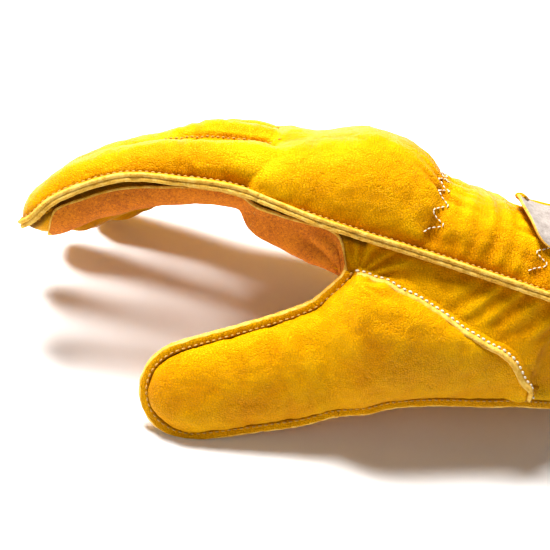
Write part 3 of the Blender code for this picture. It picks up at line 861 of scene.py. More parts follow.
def grain_leather(colours):
    """Drum-dyed cowhide, grain side: a satin yellow with fine pebbled pores and soft wrinkles. Its
    colour holds painted shade, deeper in the folds and creases, and painted highlight, paler on the
    raised parts, over a random tone."""
    made, tree, shader, where = start_material("cowhide_grain", 0.46, 0.0)
    shader.inputs["Specular IOR Level"].default_value = 0.22
    shader.inputs["Specular Tint"].default_value = (*linear(colours["bright"]), 1)
    tone_and_relief_shade = add(tree, "ShaderNodeAttribute", {"attribute_name": "tone_and_relief_shade"}).outputs["Fac"]
    groove_shade = add(tree, "ShaderNodeAttribute", {"attribute_name": "groove_shade"}).outputs["Fac"]
    patch = speckle(tree, where, 34, 2.0)
    cloud = speckle(tree, where, 7, 4.0, 0.6)
    both = calc(tree, "MULTIPLY_ADD", patch, 0.26, calc(tree, "MULTIPLY", cloud, 0.30))
    # Painted shade and highlight: the relief weight darkens the leather in its hollows and pales it on
    # its ridges.
    level = calc(tree, "ADD", both, calc(tree, "MULTIPLY", tone_and_relief_shade, 0.50))
    colour = ramp(tree, level, ((0.18, colours["deep"]), (0.42, colours["mid"]),
                                (0.62, colours["light"]), (0.85, colours["bright"])))
    pores = add(tree, "ShaderNodeTexVoronoi", {"feature": "DISTANCE_TO_EDGE"},
                {"Vector": where, "Scale": 1 / 0.95, "Randomness": 1.0}).outputs["Distance"]
    pits = add(tree, "ShaderNodeMapRange", values={"Value": pores, "From Max": 0.16})
    pit_shade = calc(tree, "MULTIPLY_ADD", pits.outputs[0], 0.22, 0.78)
    shaded = mixed(tree, 1.0, colour, pit_shade, "MULTIPLY")
    # Painted shade: the leather blends to the dark seam colour in and beside the seams
    seam = calc(tree, "MINIMUM", calc(tree, "MULTIPLY", groove_shade, 1.0), 1.0)
    deep = calc(tree, "POWER", seam, 1.6)
    final = mixed(tree, deep, shaded, (*linear(colours["seam"]), 1))
    tree.links.new(final, shader.inputs["Base Color"])
    gloss = calc(tree, "MULTIPLY_ADD", cloud, 0.22, 0.36)
    tree.links.new(calc(tree, "ADD", gloss, calc(tree, "MULTIPLY", groove_shade, 0.2)),
                   shader.inputs["Roughness"])
    wrinkle = speckle(tree, where, 2.4, 5.0, 0.62, 0.8)
    soft = speckle(tree, where, 6.5, 3.0, 0.5, 0.4)
    bumped(tree, shader, ((soft, 1.2, 0.40), (wrinkle, 0.75, 0.80), (pits.outputs[0], 0.32, 0.8)))
    return made


def suede(colours):
    """Split cowhide, brushed: matt orange with a short nap that lies every way."""
    made, tree, shader, where = start_material("split_suede", 0.95, 0.2, colours["nap"])
    patch = speckle(tree, where, 12, 3.0)
    fibre = speckle(tree, where, 0.9, 6.0, 0.75, 1.2)
    level = calc(tree, "MULTIPLY_ADD", patch, 0.22, calc(tree, "MULTIPLY", fibre, 0.78))
    colour = ramp(tree, level, ((0.36, colours["low"]), (0.50, colours["mid"]),
                                (0.63, colours["nap"])))
    tree.links.new(colour, shader.inputs["Base Color"])
    clump = speckle(tree, where, 2.6, 4.0, 0.6, 0.5)
    bumped(tree, shader, ((clump, 0.7, 0.5), (fibre, 0.5, 0.8)))
    return made


def cut_edge(name, colours):
    """Leather cut across its thickness: pale, dry fibre with darker needle marks."""
    made, tree, shader, where = start_material(name, 0.9, 0.25, colours["light"])
    patch = speckle(tree, where, 3.2, 4.0, 0.65)
    fine = speckle(tree, where, 0.7, 5.0, 0.7)
    level = calc(tree, "MULTIPLY_ADD", patch, 0.6, calc(tree, "MULTIPLY", fine, 0.4))
    colour = ramp(tree, level, ((0.30, colours["low"]), (0.46, colours["mid"]),
                                (0.66, colours["light"])))
    tree.links.new(colour, shader.inputs["Base Color"])
    bumped(tree, shader, ((patch, 0.5, 0.6), (fine, 0.3, 0.8)))
    return made


def thread_finish(name, low, light):
    """Bonded polyester thread: a soft gloss, with the twist of its plies."""
    made, tree, shader, where = start_material(name, 0.5, 0.2)
    twist = add(tree, "ShaderNodeTexWave", {"wave_type": "BANDS", "bands_direction": "DIAGONAL"},
                {"Vector": where, "Scale": 0.9, "Distortion": 1.5}).outputs["Fac"]
    fuzz = speckle(tree, where, 0.5, 3.0)
    level = calc(tree, "MULTIPLY_ADD", twist, 0.5, calc(tree, "MULTIPLY", fuzz, 0.5))
    colour = ramp(tree, level, ((0.2, low), (0.7, light)))
    tree.links.new(colour, shader.inputs["Base Color"])
    bumped(tree, shader, ((twist, 0.12, 0.6), (fuzz, 0.1, 0.5)))
    return made


def tape_finish():
    """Woven elastic: off-white rib weave over rubber strands, 1.2 mm apart."""
    made, tree, shader, where = start_material("woven_elastic", 0.8, 0.2)
    rib = add(tree, "ShaderNodeTexWave", {"bands_direction": "X"},
              {"Vector": where, "Scale": 0.26}).outputs["Fac"]
    pick = add(tree, "ShaderNodeTexWave", {"bands_direction": "Y"},
               {"Vector": where, "Scale": 0.5}).outputs["Fac"]
    weave = calc(tree, "MULTIPLY", rib, pick)
    colour = ramp(tree, weave, ((0.0, "#B9B2A2"), (0.6, "#E8E3D6")))
    tree.links.new(colour, shader.inputs["Base Color"])
    bumped(tree, shader, ((weave, 0.3, 0.7),))
    return made


def floor_finish(code):
    """Painted board: matt white with a trace of roller texture."""
    made, tree, shader, where = start_material("painted_board", 0.85)
    cloud = speckle(tree, where, 40, 2.0)
    colour = ramp(tree, cloud, ((0.2, code), (0.8, "#FFFFFF")))
    tree.links.new(colour, shader.inputs["Base Color"])
    bumped(tree, shader, ((speckle(tree, where, 1.5, 2.0), 0.05, 0.2),))
    return made


# ---------------------------------------------------------------- stitches

def stitch_tree():
    """Geometry nodes: a row of short rounded stitches along an edge line."""
    tree = bpy.data.node_groups.new("stitch_row", "GeometryNodeTree")
    face = tree.interface
    face.new_socket("Line", in_out="INPUT", socket_type="NodeSocketGeometry")
    sockets = {}
    for name, default in (("Pitch", 0.0025), ("Length", 0.0019), ("Thickness", 0.0008),
                          ("Tilt", 0.0), ("Unevenness", 0.12)):
        made = face.new_socket(name, in_out="INPUT", socket_type="NodeSocketFloat")
        made.default_value = default
        sockets[name] = made.identifier
    made = face.new_socket("Thread", in_out="INPUT", socket_type="NodeSocketMaterial")
    sockets["Thread"] = made.identifier
    face.new_socket("Stitches", in_out="OUTPUT", socket_type="NodeSocketGeometry")
    given = add(tree, "NodeGroupInput").outputs
    curve = add(tree, "GeometryNodeMeshToCurve", values={"Mesh": given["Line"]})
    even = add(tree, "GeometryNodeResampleCurve", {"mode": "LENGTH"},
               {"Curve": curve.outputs[0], "Length": given["Pitch"]})
    tangent = add(tree, "GeometryNodeInputTangent").outputs[0]
    turn = add(tree, "FunctionNodeAlignRotationToVector", {"axis": "X"}, {"Vector": tangent})
    tilt = add(tree, "ShaderNodeCombineXYZ", values={"Z": given["Tilt"]})
    tilted = add(tree, "FunctionNodeRotateRotation", {"rotation_space": "LOCAL"},
                 {"Rotation": turn.outputs[0], "Rotate By": tilt.outputs[0]})
    ball = add(tree, "GeometryNodeMeshUVSphere", values={"Segments": 6, "Rings": 5, "Radius": 0.5})
    size = add(tree, "ShaderNodeCombineXYZ", values={
        "X": given["Length"], "Y": given["Thickness"], "Z": given["Thickness"]})
    least = add(tree, "ShaderNodeMath", {"operation": "SUBTRACT"},
                {0: 1.0, 1: given["Unevenness"]})
    chance = add(tree, "FunctionNodeRandomValue", {"data_type": "FLOAT"})
    number = [s for s in chance.inputs if s.type == "VALUE" and s.enabled]
    tree.links.new(least.outputs[0], number[0])
    number[1].default_value = 1.0
    next(s for s in chance.inputs if s.name == "Seed").default_value = 7
    picked = next(s for s in chance.outputs if s.type == "VALUE" and s.enabled)
    uneven = add(tree, "ShaderNodeVectorMath", {"operation": "SCALE"}, {0: size.outputs[0]})
    tree.links.new(picked, uneven.inputs["Scale"])
    placed = add(tree, "GeometryNodeInstanceOnPoints", values={
        "Points": even.outputs[0], "Instance": ball.outputs["Mesh"],
        "Rotation": tilted.outputs[0], "Scale": uneven.outputs[0]})
    real = add(tree, "GeometryNodeRealizeInstances", values={"Geometry": placed.outputs[0]})
    soft = add(tree, "GeometryNodeSetShadeSmooth", values={"Geometry": real.outputs[0]})
    dressed = add(tree, "GeometryNodeSetMaterial", values={
        "Geometry": soft.outputs[0], "Material": given["Thread"]})
    add(tree, "NodeGroupOutput", values={"Stitches": dressed.outputs[0]})
    return tree, sockets


def stitched(name, lines, material, pitch, length, thickness, tilt=0.0):
    """Runs the stitch tree along the lines and keeps the result as a plain mesh."""
    if "stitch_tree" not in BUILT:
        BUILT["stitch_tree"] = stitch_tree()
    tree, sockets = BUILT["stitch_tree"]
    points, edges = [], []
    for line in lines:
        start = len(points)
        points += [tuple(p) for p in room(line)]
        edges += [(start + i, start + i + 1) for i in range(len(line) - 1)]
    mesh = bpy.data.meshes.new(name)
    mesh.from_pydata(points, edges, [])
    line_object = bpy.data.objects.new(name + "_line", mesh)
    bpy.context.scene.collection.objects.link(line_object)
    row = line_object.modifiers.new("Stitches", "NODES")
    row.node_group = tree
    for key, value in (("Pitch", pitch * MM), ("Length", length * MM),
                       ("Thickness", thickness * MM), ("Tilt", math.radians(tilt)),
                       ("Thread", material)):
        row[sockets[key]] = value
    graph = bpy.context.evaluated_depsgraph_get()
    made = bpy.data.objects.new(name, bpy.data.meshes.new_from_object(
        line_object.evaluated_get(graph)))
    bpy.context.scene.collection.objects.link(made)
    bpy.data.objects.remove(line_object)
    made.data.name = name
    return made


# ---------------------------------------------------------------- finger and thumb pieces, and split lines

def finger_blend(piece):
    """Bakes a finger piece's place into its mesh."""
    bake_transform(piece)


def thumb_blend(piece):
    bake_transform(piece)


def split_line(points, cut):
    """The parts of a line on each side of a test, sharing the point where it changes."""
    flags = [bool(cut(p)) for p in points]
    runs, start = [], 0
    for k in range(1, len(points) + 1):
        if k == len(points) or flags[k] != flags[start]:
            runs.append((flags[start], slice(start, min(k + 1, len(points)))))
            start = k
    return runs


def thumb_along(point):
    return (Vector(point) - THUMB_ROOT).dot(thumb_frame()[0])


def in_thumb(point):
    return thumb_along(point) > 8 and point[2] < -20


def in_finger(point):
    return point[0] < ROOT_SPLIT


# ---------------------------------------------------------------- settings

class GLOVE_PG_sizes(bpy.types.PropertyGroup):
    """Sizes of the leather and of its sewing, in millimetres."""

    leather: bpy.props.FloatProperty(
        name="Leather", description="Thickness of the grain leather, in mm",
        default=1.2, min=0.6, max=2.0)
    suede: bpy.props.FloatProperty(
        name="Suede", description="Thickness of the suede patches, in mm",
        default=1.4, min=0.8, max=2.0)
    melt: bpy.props.FloatProperty(
        name="Skin step", description="Width of the skin's small squares, in mm",
        default=1.05, min=0.8, max=4.0)
    pitch: bpy.props.FloatProperty(
        name="Stitch pitch", description="From one stitch to the next, in mm",
        default=2.5, min=1.5, max=6.0)
    thread: bpy.props.FloatProperty(
        name="Thread", description="Thickness of the sewing thread, in mm",
        default=0.8, min=0.3, max=1.5)
    edge_wave: bpy.props.FloatProperty(
        name="Edge wave", description="How far a hand-cut edge wanders, in mm",
        default=0.35, min=0.0, max=1.0)


def colour_property(name, description, code):
    return bpy.props.StringProperty(name=name, description=description, default=code)


class GLOVE_PG_colours(bpy.types.PropertyGroup):
    """Colours of the leathers and threads, as sRGB hex."""

    # Painted shade and highlight: these four leather colours are reached through the relief weight,
    # deep in folds and creases, bright on ridges, over a random tone.
    deep: colour_property("Leather in folds", "Grain leather where it is deepest", "#A65A00")
    mid: colour_property("Leather", "Grain leather", "#DD9000")
    light: colour_property("Leather, pulled", "Grain leather, paler by random tone and painted highlight", "#E9A500")
    bright: colour_property("Leather, raised", "Grain leather on its ridges", "#F2B604")
    # Painted shade: the dark colour laid into the seam grooves
    seam: colour_property("Painted seam shade", "Painted shade at the bottom of a seam", "#3E2203")
    suede: colour_property("Suede", "Nap of the suede", "#CC6C00")
    edge: colour_property("Cut edge", "Raw edge of the leather", "#DDA62E")
    flesh: colour_property("Flesh side", "Inside face of the leather", "#8F847C")
    white: colour_property("White thread", "Thread of the thumb and wrist seams", "#F1E8CE")
    yellow: colour_property("Yellow thread", "Thread of the outseams", "#D9A520")
    floor: colour_property("Floor", "Floor the glove lies on", "#F6F4F1")


def sizes():
    return bpy.context.scene.glove_sizes


def finishes():
    """The materials, made once from the colours."""
    if "finishes" not in BUILT:
        c = bpy.context.scene.glove_colours
        grain = dict(deep=c.deep, mid=c.mid, light=c.light, bright=c.bright, seam=c.seam)
        BUILT["finishes"] = {
            "grain": grain_leather(grain),
            "suede": suede(dict(low="#8A4202", mid=c.suede, nap="#EA8E0A")),
            "edge": cut_edge("cut_cowhide_edge", dict(low="#96590A", mid=c.edge, light="#F0CF6A")),
            "flesh": cut_edge("cowhide_flesh_side", dict(low="#6E6259", mid=c.flesh,
                                                          light="#ADA299")),
            "white": thread_finish("white_bonded_thread", "#CDBF9A", c.white),
            "yellow": thread_finish("yellow_bonded_thread", "#8C5A0C", c.yellow),
            "tape": tape_finish(),
        }
    return BUILT["finishes"]


# ---------------------------------------------------------------- operators

SMOOTHING = 14


class GLOVE_OT_leather(bpy.types.Operator):
    """Shapes the skin of the glove and cuts it into its leather pieces"""

    bl_idname = "glove.leather"
    bl_label = "Leather pieces"

    def execute(self, context):
        BUILT["lines"] = {
            "index_seam": index_seam_line(), "little_seam": little_seam_line(),
            "thumb_seam": thumb_seam_line(), "set_in": set_in_line()}
        for finger, side in DORSAL_SEAMS:
            BUILT["lines"][finger + str(side)] = dorsal_line(finger, side)
        step = sizes().melt
        points, faces = one_skin(step)
        edges = edges_of(faces)
        points = raised(relaxed(points, edges, SMOOTHING))
        normals = normals_of(points, faces)
        height, groove_shade = shaped(points)
        points = relaxed(points + normals * height[:, None], edges, 2)
        normals = normals_of(points, faces)
        # Painted shade and highlight over a random tone: darker where the relief sinks (folds,
        # creases, seams), paler where it rises.
        tone_and_relief_shade = np.clip(0.5 + 0.35 * height + 0.15 * rough(points, 40, 31, 2), 0, 1)
        kept = points[faces].mean(axis=1)[:, 0] < HAND_LENGTH - 1.5
        faces = faces[kept]
        BUILT["skin"] = dict(points=points, faces=faces, normals=normals, tone_and_relief_shade=tone_and_relief_shade, groove_shade=groove_shade)
        BUILT["tree"] = skin_tree()
        centres = points[faces].mean(axis=1)
        body = body_of_faces(centres)
        part = np.full(len(faces), -1)
        part[body == 0] = piece_of_hand(centres[body == 0])
        finish = finishes()
        materials = [finish["grain"], finish["flesh"], finish["edge"]]
        thick = sizes().leather
        for k, (name, node) in enumerate((("back_leather", "back_panel"),
                                          ("side_leather", "side_panel"),
                                          ("palm_leather", "palm_panel"),
                                          ("thumb_base_leather", "thumb_base"))):
            piece = leather_piece(name, part == k, materials, thick)
            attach(piece, "hand")
            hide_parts(node)
        inner = {"index": ("far",), "middle": ("near", "far"), "ring": ("near", "far"),
                 "little": ("near",)}
        for k, finger in enumerate(FINGERS):
            piece = leather_piece(finger + "_leather", body == k + 1, materials, thick)
            finger_blend(piece)
            walls = [f"{finger}_{side}_wall" for side in inner[finger]]
            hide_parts(finger + "_back", finger + "_front", *walls)
        piece = leather_piece("thumb_leather", body == 5, materials, thick)
        thumb_blend(piece)
        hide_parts("thumb_outer", "thumb_inner")
        return {"FINISHED"}


def flange_runs(line, outs, cut):
    """The flange's paths on each side of a cut."""
    found = {True: [], False: []}
    ahead = unit(np.gradient(line, axis=0))
    outs = unit(outs - (outs * ahead).sum(axis=1, keepdims=True) * ahead)
    ups = unit(np.cross(ahead, outs))
    for flag, part in split_line(line, cut):
        if part.stop - part.start > 3:
            found[flag].append((line[part], outs[part], ups[part]))
    return found


class GLOVE_OT_flanges(bpy.types.Operator):
    """Sews the outseams: two raw edges side by side, along the fingers, thumb and hand"""

    bl_idname = "glove.flanges"
    bl_label = "Outseam edges"

    def execute(self, context):
        finish = finishes()
        materials = [finish["grain"], finish["edge"]]
        wave = sizes().edge_wave
        lines = BUILT["lines"]
        BUILT["outs"] = {}
        index_outs = np.array([tuple(-finger_frame("index", max(0, -p[0]))[2]) for p in
                               lines["index_seam"]])
        little_outs = np.array([tuple(finger_frame("little", max(0, -p[0]))[2]) for p in
                                lines["little_seam"]])
        line = lines["thumb_seam"]
        ahead = unit(np.gradient(line, axis=0))
        thumb_outs = unit(np.cross(ahead, np.array((0.0, -1.0, 0.0))))
        thumb_outs = unit(eased(thumb_outs, 4))
        for name, outs, cut, moving in (
                ("index", index_outs, in_finger, "index"),
                ("little", little_outs, in_finger, "little"),
                ("thumb", thumb_outs, in_thumb, "thumb")):
            line = lines[name + "_seam"]
            BUILT["outs"][name] = outs
            runs = flange_runs(line, outs, cut)
            for flag, label in ((True, name + "_outseam"), (False, name + "_hand_outseam")):
                piece = swept_object(label, runs[flag], FLANGE, FLANGE_EDGE, materials, wave,
                                     hash_of(name))
                if not flag:
                    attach(piece, "hand")
                elif moving == "thumb":
                    thumb_blend(piece)
                else:
                    finger_blend(piece)
        return {"FINISHED"}


def hash_of(word):
    """A small fixed seed from a piece's name."""
    return sum(ord(letter) * (k + 3) for k, letter in enumerate(word)) % 97


class GLOVE_OT_lap(bpy.types.Operator):
    """Laps the side strip over the thumb's base, with its raw edge"""

    bl_idname = "glove.lap"
    bl_label = "Lapped seam"

    def execute(self, context):
        finish = finishes()
        places, outs = on_skin(BUILT["lines"]["set_in"], 0.0)
        places = eased(places, 8)
        ahead = unit(np.gradient(places, axis=0))
        down = np.cross(ahead, outs)
        down *= np.sign(-(down[:, 2:3]))
        BUILT["lap"] = (places, outs, unit(down))
        net_outline = [(out, up) for out, up in LAP]
        net = bmesh.new()
        sides = swept(net, places, unit(down), net_outline, sizes().edge_wave, 5, outs)
        bmesh.ops.recalc_face_normals(net, faces=net.faces[:])
        net.verts.ensure_lookup_table()
        points = np.array([v.co for v in net.verts])
        faces = [[v.index for v in f.verts] for f in net.faces]
        net.free()
        mesh = bpy.data.meshes.new("side_lap")
        mesh.from_pydata([tuple(p) for p in room(points)], [], faces)
        mesh.materials.append(finish["grain"])
        mesh.materials.append(finish["edge"])
        mesh.polygons.foreach_set("material_index", [1 if s in LAP_EDGE else 0 for s in sides])
        mesh.shade_smooth()
        for key, value in (("tone_and_relief_shade", 0.55), ("groove_shade", 0.0)):
            layer = mesh.attributes.new(key, "FLOAT", "POINT")
            layer.data.foreach_set("value", [value] * len(points))
        lap = bpy.data.objects.new("side_lap", mesh)
        context.scene.collection.objects.link(lap)
        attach(lap, "hand")
        return {"FINISHED"}


# How far a ray looks for the leather, and where a point goes if there is none, in mm
RAY_REACH = 60
RAY_MISS = 12


def ray_net(finger, stations, angles, lift):
    """A net of points on the leather, seen from the finger's own axis outwards."""
    tree = BUILT["tree"]
    rows, outs = [], []
    for along in stations:
        row, out_row = [], []
        middle, _, sideways, up = finger_frame(finger, max(along, 0))
        if along < 0:
            middle = middle + Vector((-along, 0, 0.0))
        for a in angles(along):
            aim = sideways * math.cos(math.radians(a)) + up * math.sin(math.radians(a))
            place, out, _, _ = tree.ray_cast(middle, aim, RAY_REACH)
            if place is None:
                place, out = middle + aim * RAY_MISS, aim
            row.append(np.array(place))
            out_row.append(np.array(out))
        rows.append(row)
        outs.append(out_row)
    rows, outs = np.array(rows), np.array(outs)
    for _ in range(3):
        rows[1:-1, 1:-1] = (rows[1:-1, 1:-1] * 2 + rows[:-2, 1:-1] + rows[2:, 1:-1]
                            + rows[1:-1, :-2] + rows[1:-1, 2:]) / 6
        outs[1:-1] = unit(outs[:-2] + 2 * outs[1:-1] + outs[2:])
    return rows + unit(outs) * lift, unit(outs)


def sheet_piece(name, rows, outs, thick, materials, wave, seed, border=0, first_edge=True,
                last_edge=True):
    """A cut sheet from its net: outer face, inner face and raw edge all round. The fibres of
    the raw edge show over a border of cells at the first column and at each end."""
    high, wide = rows.shape[:2]
    flat = rows.reshape(-1, 3)
    ways = outs.reshape(-1, 3)
    edge = np.zeros((high, wide), bool)
    edge[[0, -1], :] = True
    edge[:, [0, -1]] = True
    shake = rough(flat, 2.2, seed, 2)[:, None] * edge.reshape(-1, 1) * wave
    middle = rows.mean(axis=(0, 1))
    flat = flat + unit(flat - middle) * shake + ways * rough(flat, 5, seed + 1, 2)[:, None] * 0.18
    top = flat + ways * thick * 0.5
    low = flat - ways * thick * 0.5
    count = len(flat)
    cells = [(i * wide + j, i * wide + j + 1, (i + 1) * wide + j + 1, (i + 1) * wide + j)
             for i in range(high - 1) for j in range(wide - 1)]
    loop = [j for j in range(wide)] + [i * wide + wide - 1 for i in range(1, high)]
    loop += [(high - 1) * wide + j for j in range(wide - 2, -1, -1)]
    loop += [i * wide for i in range(high - 2, 0, -1)]
    faces = cells + [tuple(k + count for k in cell[::-1]) for cell in cells]
    bulge = (top + low)[loop] / 2 + unit(flat[loop] - middle) * 0.3
    rim = []
    turn = len(loop)
    for k in range(turn):
        a, b = loop[k], loop[(k + 1) % turn]
        mid_a, mid_b = 2 * count + k, 2 * count + (k + 1) % turn
        rim += [(b, a, mid_a, mid_b), (mid_b, mid_a, a + count, b + count)]
    pale = [int(j < border or (i < border and first_edge) or (i > high - 2 - border and last_edge))
            for i in range(high - 1) for j in range(wide - 1)]
    index = pale + [2] * len(cells) + [1] * len(rim)
    made = make_mesh(name, np.concatenate([top, low, bulge]), faces + rim, materials, index)
    net = bmesh.new()
    net.from_mesh(made.data)
    bmesh.ops.recalc_face_normals(net, faces=net.faces[:])
    net.to_mesh(made.data)
    net.free()
    return made


# The suede: how far it reaches back and ahead along the index finger and where its end starts
# to round off, in mm; its gap to the outseam and its far side, in degrees round the finger
SUEDE_REACH = (-34, 101)
SUEDE_STEP = 1.5
SUEDE_TIP = 86
SUEDE_GAP, SUEDE_STOP = 15, 305


class GLOVE_OT_suede(bpy.types.Operator):
    """Lays the suede patches under the index finger and over the palm beside it"""

    bl_idname = "glove.suede"
    bl_label = "Suede patches"

    def execute(self, context):
        finish = finishes()
        materials = [finish["suede"], finish["edge"], finish["suede"]]
        thick = sizes().suede

        def angles(along):
            seam = 180 - outer_seam_angle("index", max(along, 0))
            tip = float(smooth((along - SUEDE_TIP) / 17)) ** 2
            corner = float(smooth((-along - 24) / 10)) ** 2
            start = seam + SUEDE_GAP + 50 * tip + 26 * corner
            stop = SUEDE_STOP if along > 0 else SUEDE_STOP - 40 * float(smooth(-along / 14))
            return steps(start, stop - 30 * tip, 40)

        back, ahead = SUEDE_REACH
        stations = [*np.arange(back, -ROOT_SPLIT + 0.1, SUEDE_STEP),
                    *np.arange(-ROOT_SPLIT + SUEDE_STEP, ahead, SUEDE_STEP)]
        rows, outs = ray_net("index", stations, angles, thick * 0.5 + 0.15)
        split = int(np.argmin(np.abs(np.array(stations) + ROOT_SPLIT)))
        palm = sheet_piece("palm_suede", rows[:split + 1], outs[:split + 1], thick, materials,
                           sizes().edge_wave, 3, 1, True, False)
        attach(palm, "hand")
        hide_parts("palm_patch")
        finger = sheet_piece("index_suede", rows[split:], outs[split:], thick, materials,
                             sizes().edge_wave, 3, 1, False, True)
        finger_blend(finger)
        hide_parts("index_patch")
        return {"FINISHED"}


# Where the outseam's stitches sit on the flange, and the set-in stitches on the lap: (out, up)
FLANGE_STITCH = (0.55, 1.85)
LAP_STITCH = (0.4, 1.25)
SET_IN_THREAD, DORSAL_THREAD, ZIGZAG_THREAD = 1.35, 0.8, 0.75
STITCH_SHARE = 0.72
DORSAL_STITCH = dict(pitch=2.2, length=1.5)
# The zigzags: half their width, corners and stitches; the tape: depth and section
ZIGZAG_HALF, ZIGZAG_CORNERS = 3.1, 27
ZIGZAG_STITCH = dict(pitch=2.1, length=1.8)
TAPE_DEPTH = 4.6
TAPE = ((-4.5, -0.35), (-4.5, 0.35), (4.5, 0.35), (4.5, -0.35))


class GLOVE_OT_stitches(bpy.types.Operator):
    """Sews the visible rows of stitches"""

    bl_idname = "glove.stitches"
    bl_label = "Stitches"

    def execute(self, context):
        finish = finishes()
        thread, pitch = sizes().thread, sizes().pitch
        lines = BUILT["lines"]
        nodes = {"index": ("index_outseam_thread", "index_side_thread"),
                 "little": ("little_outseam_thread", "little_side_thread"),
                 "thumb": ("thumb_outseam_thread", None)}
        for name, cut in (("index", in_finger), ("little", in_finger), ("thumb", in_thumb)):
            line, outs = lines[name + "_seam"], BUILT["outs"][name]
            ahead = unit(np.gradient(line, axis=0))
            ups = unit(np.cross(ahead, outs))
            both = []
            for side in (1, -1):
                both.append(line + outs * FLANGE_STITCH[0] + ups * side * FLANGE_STITCH[1])
            for flag in (True, False):
                rows = []
                for row in both:
                    rows += [row[part] for got, part in split_line(line, cut)
                             if got == flag and part.stop - part.start > 3]
                label = name + ("_stitches" if flag else "_hand_stitches")
                piece = stitched(label, rows, finish["yellow"], pitch, pitch * STITCH_SHARE,
                                 thread)
                node = nodes[name][0 if flag else 1]
                if node:
                    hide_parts(node)
                if not flag:
                    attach(piece, "hand")
                elif name == "thumb":
                    thumb_blend(piece)
                else:
                    finger_blend(piece)
        places, outs, down = BUILT["lap"]
        row = places + outs * LAP_STITCH[1] + down * LAP_STITCH[0]
        seam = stitched("set_in_stitches", [row], finish["white"], pitch, pitch * STITCH_SHARE,
                        thread * SET_IN_THREAD)
        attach(seam, "hand")
        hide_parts("thumb_seam_thread")
        for finger, side in DORSAL_SEAMS:
            places, outs = on_skin(lines[finger + str(side)], 0.25)
            rows = {True: [], False: []}
            for flag, part in split_line(places, in_finger):
                rows[flag].append(places[part])
            label = f"{finger}_{'far' if side > 0 else 'near'}_back_stitches"
            piece = stitched(label, rows[True], finish["yellow"],
                             thickness=thread * DORSAL_THREAD, **DORSAL_STITCH)
            finger_blend(piece)
        return {"FINISHED"}


class GLOVE_OT_shirring(bpy.types.Operator):
    """Sews the zigzags that hold the elastic to the back of the wrist"""

    bl_idname = "glove.shirring"
    bl_label = "Elastic and zigzags"

    def execute(self, context):
        finish = finishes()
        for name, station in ELASTICS.items():
            arc = resampled([hand_back(station, turned(a, SQUARENESS)[0])
                             for a in steps(172, 8, 80)], ZIGZAG_CORNERS)
            zigzag = [spot + (ZIGZAG_HALF if k % 2 else -ZIGZAG_HALF, 0, 0)
                      for k, spot in enumerate(arc)]
            path = []
            for a, b in zip(zigzag, zigzag[1:]):
                path += [a + (b - a) * t for t in np.linspace(0, 1, 6)[:-1]]
            places, outs = on_skin(path, 0.35, 1)
            piece = stitched(name + "_zigzag", [places], finish["white"],
                             thickness=sizes().thread * ZIGZAG_THREAD, **ZIGZAG_STITCH)
            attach(piece, "hand")
            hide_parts(name + "_shirring")
            wide = np.array(resampled([hand_back(station, turned(a, SQUARENESS)[0])
                                       for a in steps(158, 22, 60)], 60))
            outs = np.tile((1.0, 0.0, 0.0), (len(wide), 1))
            inward = unit(np.cross(np.gradient(wide, axis=0), outs))
            inward *= -np.sign(inward[:, 2:3])
            tape = swept_object(name + "_tape", [(wide + inward * TAPE_DEPTH, outs)], TAPE, (),
                                [finish["tape"]])
            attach(tape, "hand")
            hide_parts(name + "_elastic")
        return {"FINISHED"}


# The cuff's folded strip: its section as (along, up) in mm, and which sides are raw edge
CUFF_SECTION = ((-12.0, 0.55), (-12.2, 1.1), (-11.6, 1.75), (-8, 1.9), (-4, 1.95), (-1, 1.8),
                (0.1, 1.3), (0.4, 0.4), (0.2, -0.8), (-1, -1.5), (-5, -1.6), (-10, -1.6),
                (-11.8, -1.5), (-12.0, -0.9))
CUFF_RAW = (0, 1, 12, 13)
CUFF_STITCH_ALONG, CUFF_STITCH_UP = -9.6, 2.0
CUFF_STITCH = dict(pitch=2.8, length=2.0)


class GLOVE_OT_cuff(bpy.types.Operator):
    """Binds the cuff's edge with a folded leather strip"""

    bl_idname = "glove.cuff"
    bl_label = "Cuff binding"

    def execute(self, context):
        finish = finishes()
        ring = hand_ring(1.0)
        ring = np.concatenate([eased(ring, 4), ring[:1]])
        ring = resampled(ring, 260)
        ring[-1] = ring[0]
        rows = []
        middle = ring.mean(axis=0)
        ways = []
        for k, point in enumerate(ring):
            ahead = unit(ring[(k + 1) % 259] - ring[k - 1 if k else 258])
            ways.append(unit(np.cross(np.array((1.0, 0, 0)), ahead)))
        ways = np.array(ways)
        ways *= np.sign(((ring - middle) * ways).sum(axis=1, keepdims=True))
        net = bmesh.new()
        for k, point in enumerate(ring[:-1]):
            wave = 0.25 * noise.noise(Vector(point) / 6)
            row = []
            for along, up in CUFF_SECTION:
                place = point + ways[k] * (up + wave) + np.array((along, 0, 0))
                row.append(net.verts.new(place))
            rows.append(row)
        sides = []
        for i, row in enumerate(rows):
            after = rows[(i + 1) % len(rows)]
            for j in range(len(CUFF_SECTION)):
                m = (j + 1) % len(CUFF_SECTION)
                net.faces.new((row[j], row[m], after[m], after[j]))
                sides.append(j)
        bmesh.ops.recalc_face_normals(net, faces=net.faces[:])
        points = np.array([v.co for v in net.verts])
        net.verts.index_update()
        faces = [[v.index for v in f.verts] for f in net.faces]
        net.free()
        index = [1 if side in CUFF_RAW else 0 for side in sides]
        zeros = np.zeros(len(points))
        cuff = make_mesh("cuff_tape", points, faces, [finish["grain"], finish["edge"]], index,
                         {"tone_and_relief_shade": zeros + 0.5, "groove_shade": zeros})
        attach(cuff, "hand")
        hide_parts("cuff_binding")
        row = ring + ways * CUFF_STITCH_UP + np.array((CUFF_STITCH_ALONG, 0, 0))
        seam = stitched("cuff_stitches", [row], finish["yellow"],
                        thickness=sizes().thread, **CUFF_STITCH)
        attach(seam, "hand")
        return {"FINISHED"}


